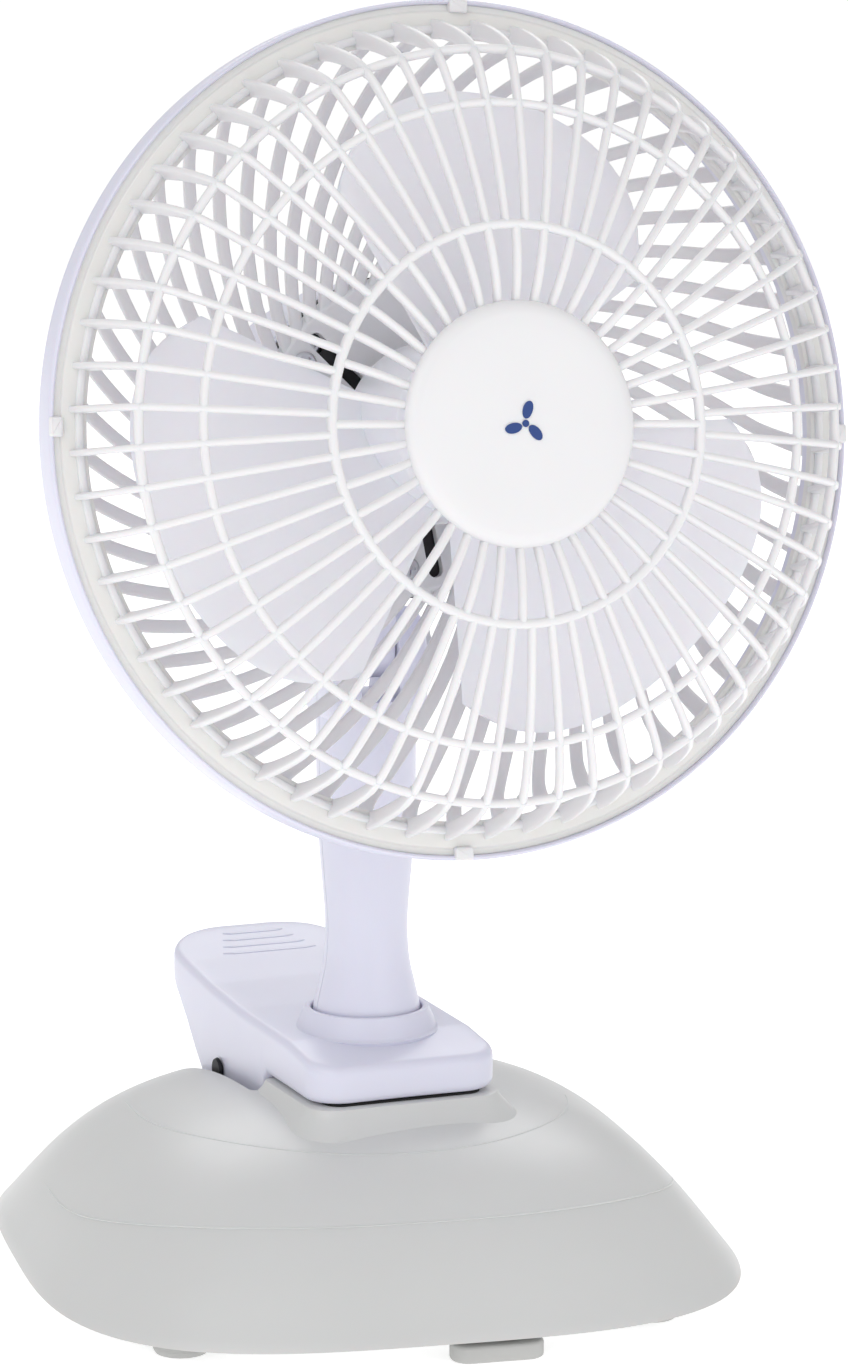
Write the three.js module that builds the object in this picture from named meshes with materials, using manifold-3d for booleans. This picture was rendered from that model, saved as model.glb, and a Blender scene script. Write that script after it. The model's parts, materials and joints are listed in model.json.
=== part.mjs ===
// A small clip-on desk fan standing on its own weighted base.
// Millimetres, +Z up, front towards -Y. Head parts are drawn about the fan axis, local +Y pointing back.
import * as THREE from 'three';
import { mergeVertices } from 'three/addons/utils/BufferGeometryUtils.js';
import Module from 'manifold-3d';

const wasm = await Module();
wasm.setup();

// ---- driving dimensions ----
const GAP = 0.3; // clearance left between touching pieces

// base
const BASE_HALF_WIDTH = 82;
const BASE_HALF_DEPTH = 88;
const BASE_CENTRE_Y = 6.8;
const BASE_CORNER = 3.25; // superellipse exponent of the base outline
const BASE_UNDERSIDE = 4.2;
const BASE_HEEL = [78, 5.8]; // radius and height where the skirt turns under
const BASE_WIDEST = 6.8;
const BASE_TOP = 45;
const BASE_WALL = 2.4;
const BASE_SIDES = 32; // facets round the base outline
const COVER_RADIUS = 71;
const COVER_THICKNESS = 2;
const LEDGE_TOP = 46.2;
const LEDGE_WIDTH = 50;
const SLOT_WIDTH = 52;
const SLOT_FRONT = 6;
const SLOT_BACK = 81;
const BALLAST_SIZE = [84, 118];
const BALLAST_THICKNESS = 4.5;
const SCREW_BOSS = { x: 52, front: -34, back: 50, radius: 4.2 };
const FOOT_RADIUS = 6.4;
const FOOT_SPOTS = {
  side_left_front: [-54, -50], side_right_front: [54, -50], side_left_back: [-52, 34], side_right_back: [52, 34],
};
const FRONT_FOOT = { x: 15, y: -71, length: 26, width: 9 };

// clip
const UNIT_TURN = 8.3; // degrees that the clip, neck and head, and their seat in the base, are turned on the base
const JAW_WIDTH = 46;
const JAW_WALL = 2.6;
const JAW_UNDERSIDE = 47.8;
const COLLAR_TOP = 63.8;
const COLLAR_BORE = 13.5;
const SOCKET_FLOOR = 59;
const PIVOT = { y: 36, z: 42 };
const PIN_RADIUS = 1.5;
const PAD_THICKNESS = 1.2;
const LOWER_JAW_WIDTH = 38;

// neck
const SPIGOT_RADIUS = 8;
const SPIGOT_BOTTOM = 55.4;
const TILT_AXIS_Z = 148;
const YOKE_WIDTH = 24;
const YOKE_SLOT = 9.6;
const YOKE_RADIUS = 9;
const TILT_BOLT_RADIUS = 2;

// head
const HEAD_TILT = 8.5; // degrees the head is tilted up
const AXIS_ABOVE_TILT = 46.5;
const RIM_AHEAD_OF_TILT = 60.5;
const RIM_RADIUS = 93;
const RING_OUTER = { radius: 80, ahead: 23 };
const RING_MIDDLE = { radius: 68, ahead: 29 };
const RING_INNER = { radius: 42, ahead: 35 };
const CAP_RADIUS = 26;
const CAP_FRONT = 38.5;
const OUTER_SPOKES = 60;
const INNER_SPOKES = 40;
const BACK_RIBS = 50;
const BACK_SWIRL = 0.75; // how fast the back ribs turn as they run inwards, 0 for radial
const SPOKE_WIDTH = 1.7;
const SPOKE_DEPTH = 3;
const GUARD_BACK = 26;
const MOUNT_RADIUS = 34;
const MOUNT_SLOTS = { count: 5, phase: 134, width: 3.5, from: 13, to: 32 };

// motor
const HOUSING_RADIUS = 36;
const HOUSING_FRONT = 32;
const HOUSING_BACK = 80;
const HOUSING_WALL = 2.2;
const ROTOR_RADIUS = 12;
const SHAFT_RADIUS = 2.5;
const SWITCH_Z = -3;
const GLAND_Z = -20;
const STACK_FRONT = 44;
const STACK_DEPTH = 14;
const BLADE_TIP = 73;
const BLADE_TURN = 76; // degrees from +X to the middle of the first blade
const BLADE_HALF_SPAN = 43.5; // degrees
const BLADE_COUNT = 3;
const HUB_RADIUS = 20;

// ---- materials ----
const plastic = (color, roughness = 0.35) => new THREE.MeshStandardMaterial({ color, roughness, metalness: 0 });
const metal = (color, roughness = 0.3) => new THREE.MeshStandardMaterial({ color, roughness, metalness: 1 });
const finish = {
  baseGrey: plastic(0xcdcecc, 0.28),
  clipWhite: plastic(0xe1e1f0, 0.3),
  guardWhite: plastic(0xf0f0f3, 0.3),
  bladeWhite: plastic(0xf6f6f8, 0.25),
  black: plastic(0x17181a, 0.5),
  rubber: plastic(0x1c1c1c, 0.9),
  footRubber: plastic(0xc4c4c2, 0.8),
  steel: metal(0xb9bbbe),
  lamination: metal(0x6b6e72, 0.55),
  castIron: metal(0x3c3e40, 0.8),
  copper: metal(0xb2643a, 0.4),
  brass: metal(0xb08d4a, 0.35),
  navy: plastic(0x27357a, 0.4),
};

// ---- shape helpers ----
const rad = THREE.MathUtils.degToRad;

function toSolid(geometry) {
  const bare = geometry.clone();
  bare.deleteAttribute('normal');
  bare.deleteAttribute('uv');
  const merged = mergeVertices(bare, 1e-4);
  const vertProperties = new Float32Array(merged.attributes.position.array);
  const triVerts = new Uint32Array(merged.index.array);
  return new wasm.Manifold(new wasm.Mesh({ numProp: 3, vertProperties, triVerts }));
}

function toGeometry(solid) {
  const mesh = solid.getMesh();
  const geometry = new THREE.BufferGeometry();
  geometry.setAttribute('position', new THREE.BufferAttribute(new Float32Array(mesh.vertProperties), 3));
  geometry.setIndex(new THREE.BufferAttribute(new Uint32Array(mesh.triVerts), 1));
  return geometry;
}

const join = (...parts) => toGeometry(parts.map(toSolid).reduce((sum, part) => sum.add(part)));
const cut = (body, ...tools) => toGeometry(tools.map(toSolid).reduce((rest, tool) => rest.subtract(tool), toSolid(body)));
const common = (a, b) => toGeometry(toSolid(a).intersect(toSolid(b)));

function box([x0, x1], [y0, y1], [z0, z1]) {
  const geometry = new THREE.BoxGeometry(x1 - x0, y1 - y0, z1 - z0);
  return geometry.translate((x0 + x1) / 2, (y0 + y1) / 2, (z0 + z1) / 2);
}

// Cylinder from `start`, running `length` along +X, +Y or +Z.
function rod(axis, radius, length, [x, y, z], sides = 20, endRadius = radius) {
  const geometry = new THREE.CylinderGeometry(endRadius, radius, length, sides);
  geometry.translate(0, length / 2, 0);
  if (axis === 'z') geometry.rotateX(Math.PI / 2);
  if (axis === 'x') geometry.rotateZ(-Math.PI / 2);
  return geometry.translate(x, y, z);
}

// A body turned about +Y from [radius, y] points listed either way round.
function lathe(points, sides) {
  const doubledArea = points.reduce((sum, [r0, y0], i) => {
    const [r1, y1] = points[(i + 1) % points.length];
    return sum + r0 * y1 - r1 * y0;
  }, 0);
  const profile = points.map(([r, y]) => new THREE.Vector2(r, y));
  return new THREE.LatheGeometry(doubledArea > 0 ? profile : profile.reverse(), sides);
}

// Turned body: [radius, height] points, standing on Z.
const turned = (points, sides = 32) => lathe(points, sides).rotateX(Math.PI / 2);

// Turned body about the fan axis: [radius, distance ahead of the rim plane] points.
const turnedHead = (points, sides = 32) => lathe(points.map(([r, ahead]) => [r, -ahead]), sides);

function shapeOf(points) {
  return new THREE.Shape(points.map(([u, v]) => new THREE.Vector2(u, v)));
}

function roundedRectangle([u0, u1], [v0, v1], radius) {
  const shape = new THREE.Shape();
  shape.moveTo(u0 + radius, v0);
  shape.lineTo(u1 - radius, v0);
  shape.absarc(u1 - radius, v0 + radius, radius, -Math.PI / 2, 0);
  shape.lineTo(u1, v1 - radius);
  shape.absarc(u1 - radius, v1 - radius, radius, 0, Math.PI / 2);
  shape.lineTo(u0 + radius, v1);
  shape.absarc(u0 + radius, v1 - radius, radius, Math.PI / 2, Math.PI);
  shape.lineTo(u0, v0 + radius);
  shape.absarc(u0 + radius, v0 + radius, radius, Math.PI, 1.5 * Math.PI);
  return shape;
}

function circle(radius, u = 0, v = 0) {
  const sides = 18;
  const points = Array.from({ length: sides }, (_, i) => {
    const angle = (i / sides) * 2 * Math.PI;
    return [u + radius * Math.cos(angle), v + radius * Math.sin(angle)];
  });
  return shapeOf(points);
}

function slab(shape, depth, curveSegments = 3) {
  return new THREE.ExtrudeGeometry(shape, { depth, bevelEnabled: false, curveSegments });
}

// An (x, y) outline raised from z0 to z1.
const raised = (shape, [z0, z1], curveSegments) => slab(shape, z1 - z0, curveSegments).translate(0, 0, z0);

// A (y, z) outline stretched across x, centred on x = 0.
function across(shape, width, curveSegments) {
  const geometry = slab(shape, width, curveSegments);
  geometry.applyMatrix4(new THREE.Matrix4().set(0, 0, 1, 0, 1, 0, 0, 0, 0, 1, 0, 0, 0, 0, 0, 1));
  return geometry.translate(-width / 2, 0, 0);
}

// An (x, z) outline running back along y from y0 to y1.
function along(shape, [y0, y1], curveSegments) {
  return slab(shape, y1 - y0, curveSegments).rotateX(Math.PI / 2).translate(0, y1, 0);
}

// Presses a round body, turned at BASE_HALF_WIDTH, into the base's rounded-square outline.
function squareOff(geometry) {
  const position = geometry.attributes.position;
  const point = new THREE.Vector3();
  for (let i = 0; i < position.count; i += 1) {
    point.fromBufferAttribute(position, i);
    const radius = Math.hypot(point.x, point.y);
    if (radius > 1e-6) {
      const power = 2 + (BASE_CORNER - 2) * Math.min(1, radius / BASE_HALF_WIDTH);
      const sum = Math.abs(point.x / radius) ** power + Math.abs(point.y / radius) ** power;
      point.x *= sum ** (-1 / power);
      point.y *= (sum ** (-1 / power) * BASE_HALF_DEPTH) / BASE_HALF_WIDTH;
    }
    position.setXYZ(i, point.x, point.y + BASE_CENTRE_Y, point.z);
  }
  return geometry;
}

// A screw driven upwards along Z: the head's lower face at `bottom`, the thread above it.
function screwUp([x, y], bottom, length, { head = 3, headHeight = 1.5, thread = 1.3 } = {}) {
  return join(
    rod('z', head, headHeight, [x, y, bottom], 12),
    rod('z', thread, length + 0.2, [x, y, bottom + headHeight - 0.2], 8),
  );
}

// ---- assembly tree ----
const fan = new THREE.Group();
const unit = new THREE.Group();
const tilting = new THREE.Group();
const head = new THREE.Group();
unit.rotation.z = rad(UNIT_TURN);
tilting.position.set(0, 0, TILT_AXIS_Z);
tilting.rotation.x = -rad(HEAD_TILT);
head.position.set(0, -RIM_AHEAD_OF_TILT, AXIS_ABOVE_TILT);
fan.add(unit);
unit.add(tilting);
tilting.add(head);

function place(group, name, geometry, material) {
  const mesh = new THREE.Mesh(geometry, material.clone());
  mesh.name = name;
  group.add(mesh);
}

// ---- base ----
// Height of the dome above each radius, from the widest line to the crown.
function domeProfile(inset) {
  const start = new THREE.Vector2(BASE_HALF_WIDTH - inset, BASE_WIDEST + inset * 0.4);
  const end = new THREE.Vector2(0, BASE_TOP - inset);
  const low = new THREE.Vector2(68 - inset, 24 - inset * 0.4);
  const high = new THREE.Vector2(56, BASE_TOP - 1 - inset);
  return new THREE.CubicBezierCurve(start, low, high, end).getPoints(5).map((p) => [p.x, p.y]);
}

function baseShell() {
  const skin = domeProfile(0);
  const lining = domeProfile(BASE_WALL).reverse();
  const lip = COVER_RADIUS + GAP + 0.4;
  const edge = [[lip, BASE_UNDERSIDE + COVER_THICKNESS + 0.4], [lip, BASE_UNDERSIDE], BASE_HEEL];
  const shell = squareOff(turned([...lining, ...edge, ...skin], BASE_SIDES));
  const bottom = BASE_UNDERSIDE + COVER_THICKNESS + GAP;
  const solidDome = squareOff(turned([[0, bottom], [75, bottom], ...domeProfile(BASE_WALL / 2)], 16));
  const side = SLOT_WIDTH / 2;
  const floor = BASE_UNDERSIDE + COVER_THICKNESS + BALLAST_THICKNESS + 2 * GAP;
  const wallTop = BASE_TOP + 5;
  const pocket = cut(
    box([-side - 2, side + 2], [-34, SLOT_BACK + 2], [floor, wallTop]),
    box([-side, side], [-32, SLOT_BACK], [floor - 1, wallTop + 1]),
  ).rotateZ(rad(UNIT_TURN));
  const bosses = [SCREW_BOSS.front, SCREW_BOSS.back].flatMap((y) => [-1, 1].map((s) => (
    rod('z', SCREW_BOSS.radius, 40, [s * SCREW_BOSS.x, y, 0], 10))));
  const ledgeOutline = roundedRectangle([-LEDGE_WIDTH / 2, LEDGE_WIDTH / 2], [-30, SLOT_FRONT], 6);
  const ledge = raised(ledgeOutline, [36, LEDGE_TOP]).rotateZ(rad(UNIT_TURN));
  const inside = join(pocket, ...bosses);
  const body = join(shell, common(inside, solidDome), ledge);
  const slot = box([-side, side], [SLOT_FRONT, SLOT_BACK], [18, wallTop + 2]).rotateZ(rad(UNIT_TURN));
  const holes = bosses.map((boss, i) => {
    const y = i < 2 ? SCREW_BOSS.front : SCREW_BOSS.back;
    return rod('z', 1.6, 14, [(i % 2 ? 1 : -1) * SCREW_BOSS.x, y, 2], 8);
  });
  return cut(body, slot, ...holes);
}

function baseCover() {
  const plate = squareOff(turned([
    [0, BASE_UNDERSIDE], [COVER_RADIUS, BASE_UNDERSIDE],
    [COVER_RADIUS, BASE_UNDERSIDE + COVER_THICKNESS], [0, BASE_UNDERSIDE + COVER_THICKNESS],
  ], 28));
  const holes = [SCREW_BOSS.front, SCREW_BOSS.back].flatMap((y) => [-1, 1].map((s) => (
    rod('z', 1.8, 10, [s * SCREW_BOSS.x, y, 0], 8))));
  return cut(plate, ...holes);
}

function ballastPlate() {
  const [width, depth] = BALLAST_SIZE;
  const bottom = BASE_UNDERSIDE + COVER_THICKNESS + GAP;
  const y0 = BASE_CENTRE_Y - depth / 2;
  const outline = roundedRectangle([-width / 2, width / 2], [y0, y0 + depth], 14);
  return raised(outline, [bottom, bottom + BALLAST_THICKNESS]);
}

place(fan, 'base_shell', baseShell(), finish.baseGrey);
place(fan, 'base_cover', baseCover(), finish.baseGrey);
place(fan, 'ballast_plate', ballastPlate(), finish.castIron);

for (const [spot, [x, y]] of Object.entries(FOOT_SPOTS)) {
  const top = BASE_UNDERSIDE - GAP;
  const foot = turned([[0, 0], [FOOT_RADIUS - 1, 0], [FOOT_RADIUS, 0.8], [FOOT_RADIUS, top], [0, top]], 14);
  place(fan, `foot_${spot}`, foot.translate(x, y, 0), finish.footRubber);
}
const frontFootOutline = roundedRectangle(
  [FRONT_FOOT.x - FRONT_FOOT.length / 2, FRONT_FOOT.x + FRONT_FOOT.length / 2],
  [FRONT_FOOT.y - FRONT_FOOT.width / 2, FRONT_FOOT.y + FRONT_FOOT.width / 2],
  4,
);
place(fan, 'foot_front', raised(frontFootOutline, [0, BASE_UNDERSIDE - GAP]), finish.footRubber);

[SCREW_BOSS.front, SCREW_BOSS.back].forEach((y, row) => {
  [-1, 1].forEach((s, column) => {
    const name = `cover_screw_${row * 2 + column + 1}`;
    const geometry = screwUp([s * SCREW_BOSS.x, y], BASE_UNDERSIDE - GAP - 1.5, 9);
    place(fan, name, geometry, finish.steel);
  });
});

// ---- clip ----
function upperJaw() {
  const side = new THREE.Shape();
  side.moveTo(-27, JAW_UNDERSIDE);
  side.lineTo(-27, 53);
  side.quadraticCurveTo(-27, 56, -23, 56.6);
  side.lineTo(-8, SOCKET_FLOOR);
  side.lineTo(24, SOCKET_FLOOR);
  side.quadraticCurveTo(56, 60.5, 78, 65.5);
  side.quadraticCurveTo(83, 66, 82.5, 60);
  side.lineTo(80, 54.5);
  side.lineTo(57, 39);
  side.quadraticCurveTo(50, 35, 36, 35);
  side.lineTo(10, 38);
  side.lineTo(7, 41);
  side.lineTo(7, JAW_UNDERSIDE);
  const plan = roundedRectangle([-JAW_WIDTH / 2, JAW_WIDTH / 2], [-27, 83], 9);
  const block = common(across(side, JAW_WIDTH, 5), raised(plan, [30, 70], 5));
  const half = JAW_WIDTH / 2 - JAW_WALL;
  const hollow = new THREE.Shape();
  hollow.moveTo(16, 30);
  hollow.lineTo(16, SOCKET_FLOOR - 3);
  hollow.lineTo(24, SOCKET_FLOOR - 3);
  hollow.quadraticCurveTo(54, 57.5, 77, 62.4);
  hollow.lineTo(80.3, 62.4);
  hollow.lineTo(78, 50);
  hollow.lineTo(66, 30);
  const webs = cut(
    block,
    across(hollow, half * 2, 4),
    rod('z', 13, 9, [0, 0, JAW_UNDERSIDE - 1], 24),
    rod('x', PIN_RADIUS + GAP, JAW_WIDTH + 4, [-JAW_WIDTH / 2 - 2, PIVOT.y, PIVOT.z], 16),
    box([-half, half], [6, 17], [30, JAW_UNDERSIDE]),
  );
  const collar = turned([
    [COLLAR_BORE, SOCKET_FLOOR - 1], [17.2, SOCKET_FLOOR - 1], [16.2, SOCKET_FLOOR + 1],
    [15, COLLAR_TOP - 0.6], [14.5, COLLAR_TOP], [COLLAR_BORE, COLLAR_TOP], [COLLAR_BORE, SOCKET_FLOOR - 1],
  ], 28);
  return cut(join(webs, collar), rod('z', SPIGOT_RADIUS + GAP, 20, [0, 0, 45], 22));
}

// The lower jaw lies under the base's ledge and pivots between the upper jaw's ears.
function lowerJaw() {
  const side = new THREE.Shape();
  side.moveTo(-20, 34.5);
  side.lineTo(-20, 31);
  side.lineTo(-17, 29);
  side.lineTo(20, 29);
  side.lineTo(36, 37);
  side.lineTo(74, 40);
  side.quadraticCurveTo(77, 40.6, 76.5, 43);
  side.lineTo(46, 44);
  side.absarc(PIVOT.y, PIVOT.z, 5, 0.2, Math.PI - 0.6);
  side.lineTo(26, 34.5);
  const plan = roundedRectangle([-LOWER_JAW_WIDTH / 2, LOWER_JAW_WIDTH / 2], [-20, 77], 7);
  const block = common(across(side, LOWER_JAW_WIDTH, 6), raised(plan, [20, 60], 5));
  return cut(
    block,
    rod('x', PIN_RADIUS + GAP, LOWER_JAW_WIDTH + 4, [-LOWER_JAW_WIDTH / 2 - 2, PIVOT.y, PIVOT.z], 16),
    box([-11, 11], [PIVOT.y - 8, PIVOT.y + 11], [34, 60]),
    box([-11, 11], [46, 70], [41.8, 50]),
  );
}

function pivotPin() {
  const length = JAW_WIDTH + 1;
  const shaft = rod('x', PIN_RADIUS, length, [-length / 2, PIVOT.y, PIVOT.z], 14);
  const headDisc = rod('x', 3, 1, [-length / 2 - 1 + 0.2, PIVOT.y, PIVOT.z], 14);
  const peened = rod('x', 2.4, 0.8, [length / 2 - 0.2, PIVOT.y, PIVOT.z], 14);
  return join(shaft, headDisc, peened);
}

// Torsion spring on the pin: coil turns with one leg pushing each handle.
class SpringWire extends THREE.Curve {
  getPoint(t, target = new THREE.Vector3()) {
    const coil = { radius: 3.1, turns: 5.25, width: 15 };
    const lead = 0.16;
    if (t < lead) {
      const k = 1 - t / lead;
      return target.set(-coil.width / 2, PIVOT.y + k * 18, PIVOT.z + coil.radius + k * 10.6);
    }
    if (t > 1 - lead) {
      const k = (t - 1 + lead) / lead;
      return target.set(coil.width / 2, PIVOT.y + coil.radius + k * 15, PIVOT.z + k * 1.6);
    }
    const k = (t - lead) / (1 - 2 * lead);
    const angle = Math.PI / 2 - k * coil.turns * 2 * Math.PI;
    return target.set(
      (k - 0.5) * coil.width,
      PIVOT.y + coil.radius * Math.cos(angle),
      PIVOT.z + coil.radius * Math.sin(angle),
    );
  }
}

function torsionSpring() {
  const wire = new THREE.Shape();
  const radius = 0.7;
  const sides = 5;
  for (let i = 0; i < sides; i += 1) {
    const angle = (i / sides) * 2 * Math.PI;
    wire[i ? 'lineTo' : 'moveTo'](radius * Math.cos(angle), radius * Math.sin(angle));
  }
  return new THREE.ExtrudeGeometry(wire, { extrudePath: new SpringWire(), steps: 48, curveSegments: 1 });
}

place(unit, 'upper_jaw', upperJaw(), finish.clipWhite);
const upperPad = roundedRectangle([-19, 19], [-25.5, -14.5], 4);
place(unit, 'upper_jaw_pad', raised(upperPad, [JAW_UNDERSIDE - GAP - 1, JAW_UNDERSIDE - GAP]), finish.rubber);
place(unit, 'lower_jaw', lowerJaw(), finish.clipWhite);
const lowerPad = roundedRectangle([-16, 16], [-18, 4], 4);
place(unit, 'lower_jaw_pad', raised(lowerPad, [34.5 + 0.1, 34.5 + PAD_THICKNESS - 0.1]), finish.rubber);
place(unit, 'pivot_pin', pivotPin(), finish.steel);
place(unit, 'torsion_spring', torsionSpring(), finish.steel);

// ---- neck ----
function neckOutline() {
  const sides = new THREE.SplineCurve([
    [12.3, SOCKET_FLOOR + 5], [11.2, 69], [9.7, 77], [9.5, 84], [10.4, 95], [11.1, 106], [11.5, 120], [11.5, 134],
  ].map(([r, z]) => new THREE.Vector2(r, z)));
  return sides.getPoints(9).map((p) => [p.x, p.y]);
}

function neckBody() {
  const foot = SOCKET_FLOOR + GAP;
  const outer = [
    [0, SPIGOT_BOTTOM], [SPIGOT_RADIUS, SPIGOT_BOTTOM], [SPIGOT_RADIUS, foot], [12.3, foot], ...neckOutline(), [0, 134],
  ];
  const post = turned(outer, 18);
  const yoke = common(
    join(
      rod('x', YOKE_RADIUS, YOKE_WIDTH, [-YOKE_WIDTH / 2, 0, TILT_AXIS_Z], 20),
      box([-YOKE_WIDTH / 2, YOKE_WIDTH / 2], [-YOKE_RADIUS, YOKE_RADIUS], [132, TILT_AXIS_Z]),
    ),
    turned([[0, 122], [11.5, 122], [11.6, 134], [12.6, 141], [12.6, 160], [0, 160]], 18),
  );
  const bore = turned([[0, 66], [6, 66], [7.2, 84], [8.6, 106], [8.6, 128], [0, 130]], 12);
  return cut(
    join(post, yoke),
    bore,
    box([-YOKE_SLOT / 2, YOKE_SLOT / 2], [-20, 20], [TILT_AXIS_Z - YOKE_RADIUS - 2.5, 180]),
    rod('x', TILT_BOLT_RADIUS + GAP, 40, [-20, 0, TILT_AXIS_Z], 16),
    rod('z', 1.7, 20, [0, 0, 45], 12),
    ...neckScrewHoles(),
  );
}

const NECK_SCREW_HEIGHTS = [90, 122];
function neckScrewHoles() {
  return NECK_SCREW_HEIGHTS.flatMap((z) => [
    rod('y', 1.5, 30, [0, -15, z], 8),
    rod('y', 3.2, 10, [0, 6.1, z], 12),
  ]);
}

const bodyOfNeck = neckBody();
const neckFront = common(bodyOfNeck, box([-20, 20], [-20, -GAP / 2], [40, 180]));
const neckRear = common(bodyOfNeck, box([-20, 20], [GAP / 2, 20], [40, 180]));
place(unit, 'neck_front_shell', neckFront, finish.clipWhite);
place(unit, 'neck_rear_shell', neckRear, finish.clipWhite);

NECK_SCREW_HEIGHTS.forEach((z, i) => {
  const shank = rod('y', 1.2, 14.5, [0, -8, z], 10);
  const screwHead = rod('y', 2.8, 1.5, [0, 6.4, z], 14);
  place(unit, `neck_shell_screw_${i + 1}`, join(shank, screwHead), finish.steel);
});

const washer = turned([
  [1.8, 53.7], [12.4, 53.7], [12.4, 55.1], [1.8, 55.1], [1.8, 53.7],
], 20);
place(unit, 'swivel_washer', washer, finish.steel);
place(unit, 'swivel_screw', screwUp([0, 0], 52, 9, { headHeight: 1.4, head: 3.2 }), finish.steel);

const boltLength = YOKE_WIDTH + 4;
const tiltBolt = join(
  rod('x', TILT_BOLT_RADIUS, boltLength, [-YOKE_WIDTH / 2 - 1, 0, TILT_AXIS_Z], 16),
  rod('x', 4.2, 2, [-YOKE_WIDTH / 2 - 2 - GAP, 0, TILT_AXIS_Z], 20),
);
const tiltNut = cut(
  rod('x', 4.2, 2.6, [YOKE_WIDTH / 2 + GAP, 0, TILT_AXIS_Z], 6),
  rod('x', TILT_BOLT_RADIUS + 0.15, 10, [YOKE_WIDTH / 2 - 2, 0, TILT_AXIS_Z], 16),
);
place(unit, 'tilt_bolt', tiltBolt, finish.steel);
place(unit, 'tilt_nut', tiltNut, finish.steel);

// ---- motor housing ----
function spotsOnCircle(count, radius, phase = 0) {
  return Array.from({ length: count }, (_, i) => {
    const angle = rad(phase + (360 / count) * i);
    return [radius * Math.cos(angle), radius * Math.sin(angle)];
  });
}
const HOUSING_SCREWS = spotsOnCircle(4, 30.2, 45);
const GUARD_SCREWS = spotsOnCircle(3, 29.5, 25);

function motorHousing() {
  const r = HOUSING_RADIUS;
  const w = HOUSING_WALL;
  const outer = [
    [r - w, -HOUSING_FRONT], [r, -HOUSING_FRONT], [r, -60], [r - 1.5, -70], [r - 5, -77],
    [r - 9, -HOUSING_BACK], [0, -HOUSING_BACK],
  ];
  const inner = [
    [0, -HOUSING_BACK + w], [r - 10, -HOUSING_BACK + w], [r - 6.8, -75.6],
    [r - w - 1.4, -69.5], [r - w, -60], [r - w, -HOUSING_FRONT],
  ];
  const shell = turnedHead([...outer, ...inner], 24);
  const bosses = HOUSING_SCREWS.map(([x, z]) => rod('y', 3.4, 36, [x, HOUSING_FRONT + 4, z], 8));
  const solid = turnedHead([[0, -HOUSING_FRONT - 1], [r - 1, -HOUSING_FRONT - 1], [r - 1, -61], [r - 7, -76], [0, -76]], 24);
  const tongue = across(tongueShape(), YOKE_SLOT - 2 * GAP);
  const vents = [12, 16, 20].map((z) => box([-9, 9], [70, 90], [z - 0.9, z + 0.9]));
  return cut(
    join(shell, common(join(...bosses), solid), tongue),
    ...HOUSING_SCREWS.map(([x, z]) => rod('y', 1.4, 20, [x, HOUSING_FRONT - 2, z], 6)),
    rod('x', TILT_BOLT_RADIUS + GAP, 40, [-20, RIM_AHEAD_OF_TILT, -AXIS_ABOVE_TILT], 16),
    rod('y', 2.2, 10, [0, HOUSING_BACK - 6, SWITCH_Z], 14),
    rod('y', 4 + GAP, 10, [0, HOUSING_BACK - 6, GLAND_Z], 14),
    ...vents,
  );
}

// Hinge tongue hanging below the housing, about the tilt axis.
function tongueShape() {
  const shape = new THREE.Shape();
  const top = -HOUSING_RADIUS + 1.4;
  shape.moveTo(RIM_AHEAD_OF_TILT - 10, top);
  shape.lineTo(RIM_AHEAD_OF_TILT - YOKE_RADIUS + 1.5, -AXIS_ABOVE_TILT);
  shape.absarc(RIM_AHEAD_OF_TILT, -AXIS_ABOVE_TILT, YOKE_RADIUS - 1.5, Math.PI, 2 * Math.PI);
  shape.lineTo(RIM_AHEAD_OF_TILT + 10, top);
  return shape;
}

function motorFrontPlate() {
  const back = HOUSING_FRONT - GAP;
  const front = GUARD_BACK + 2.1 + GAP;
  const disc = turnedHead([
    [6.5, -front], [HOUSING_RADIUS, -front], [HOUSING_RADIUS, -back], [6.5, -back], [6.5, -front],
  ], 24);
  return cut(
    disc,
    ...HOUSING_SCREWS.map(([x, z]) => rod('y', 1.6, 10, [x, front - 5, z], 6)),
    ...HOUSING_SCREWS.map(([x, z]) => rod('y', 3, 6, [x, front - 4.2, z], 12)),
    ...GUARD_SCREWS.map(([x, z]) => rod('y', 1.6, 10, [x, front - 5, z], 6)),
  );
}

place(head, 'motor_housing', motorHousing(), finish.clipWhite);
place(head, 'motor_front_plate', motorFrontPlate(), finish.black);

function headScrew([x, z], y, length, radius = 2.6) {
  return join(
    rod('y', radius, 1.4, [x, y, z], 12),
    rod('y', 1.15, length + 0.2, [x, y + 1.2, z], 8),
  );
}
HOUSING_SCREWS.forEach((spot, i) => {
  place(head, `housing_screw_${i + 1}`, headScrew(spot, GUARD_BACK + 2.1 + GAP + 0.1, 12), finish.steel);
});

// ---- motor ----
function statorCore() {
  const outline = roundedRectangle([-16.5, 16.5], [-28, 17], 2.5);
  outline.holes.push(circle(ROTOR_RADIUS + 0.6));
  outline.holes.push(roundedRectangle([-10.5, 10.5], [-22.5, -16], 1));
  return along(outline, [STACK_FRONT, STACK_FRONT + STACK_DEPTH]);
}

function coil() {
  const hole = along(roundedRectangle([-12, 12], [-28 - GAP, -22.5 + GAP], 0.4), [STACK_FRONT - GAP, STACK_FRONT + STACK_DEPTH + GAP]);
  const winding = along(roundedRectangle([-9.8, 9.8], [-31.4, -16.4], 2), [STACK_FRONT - 5, STACK_FRONT + STACK_DEPTH + 5]);
  return cut(winding, hole);
}

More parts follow.
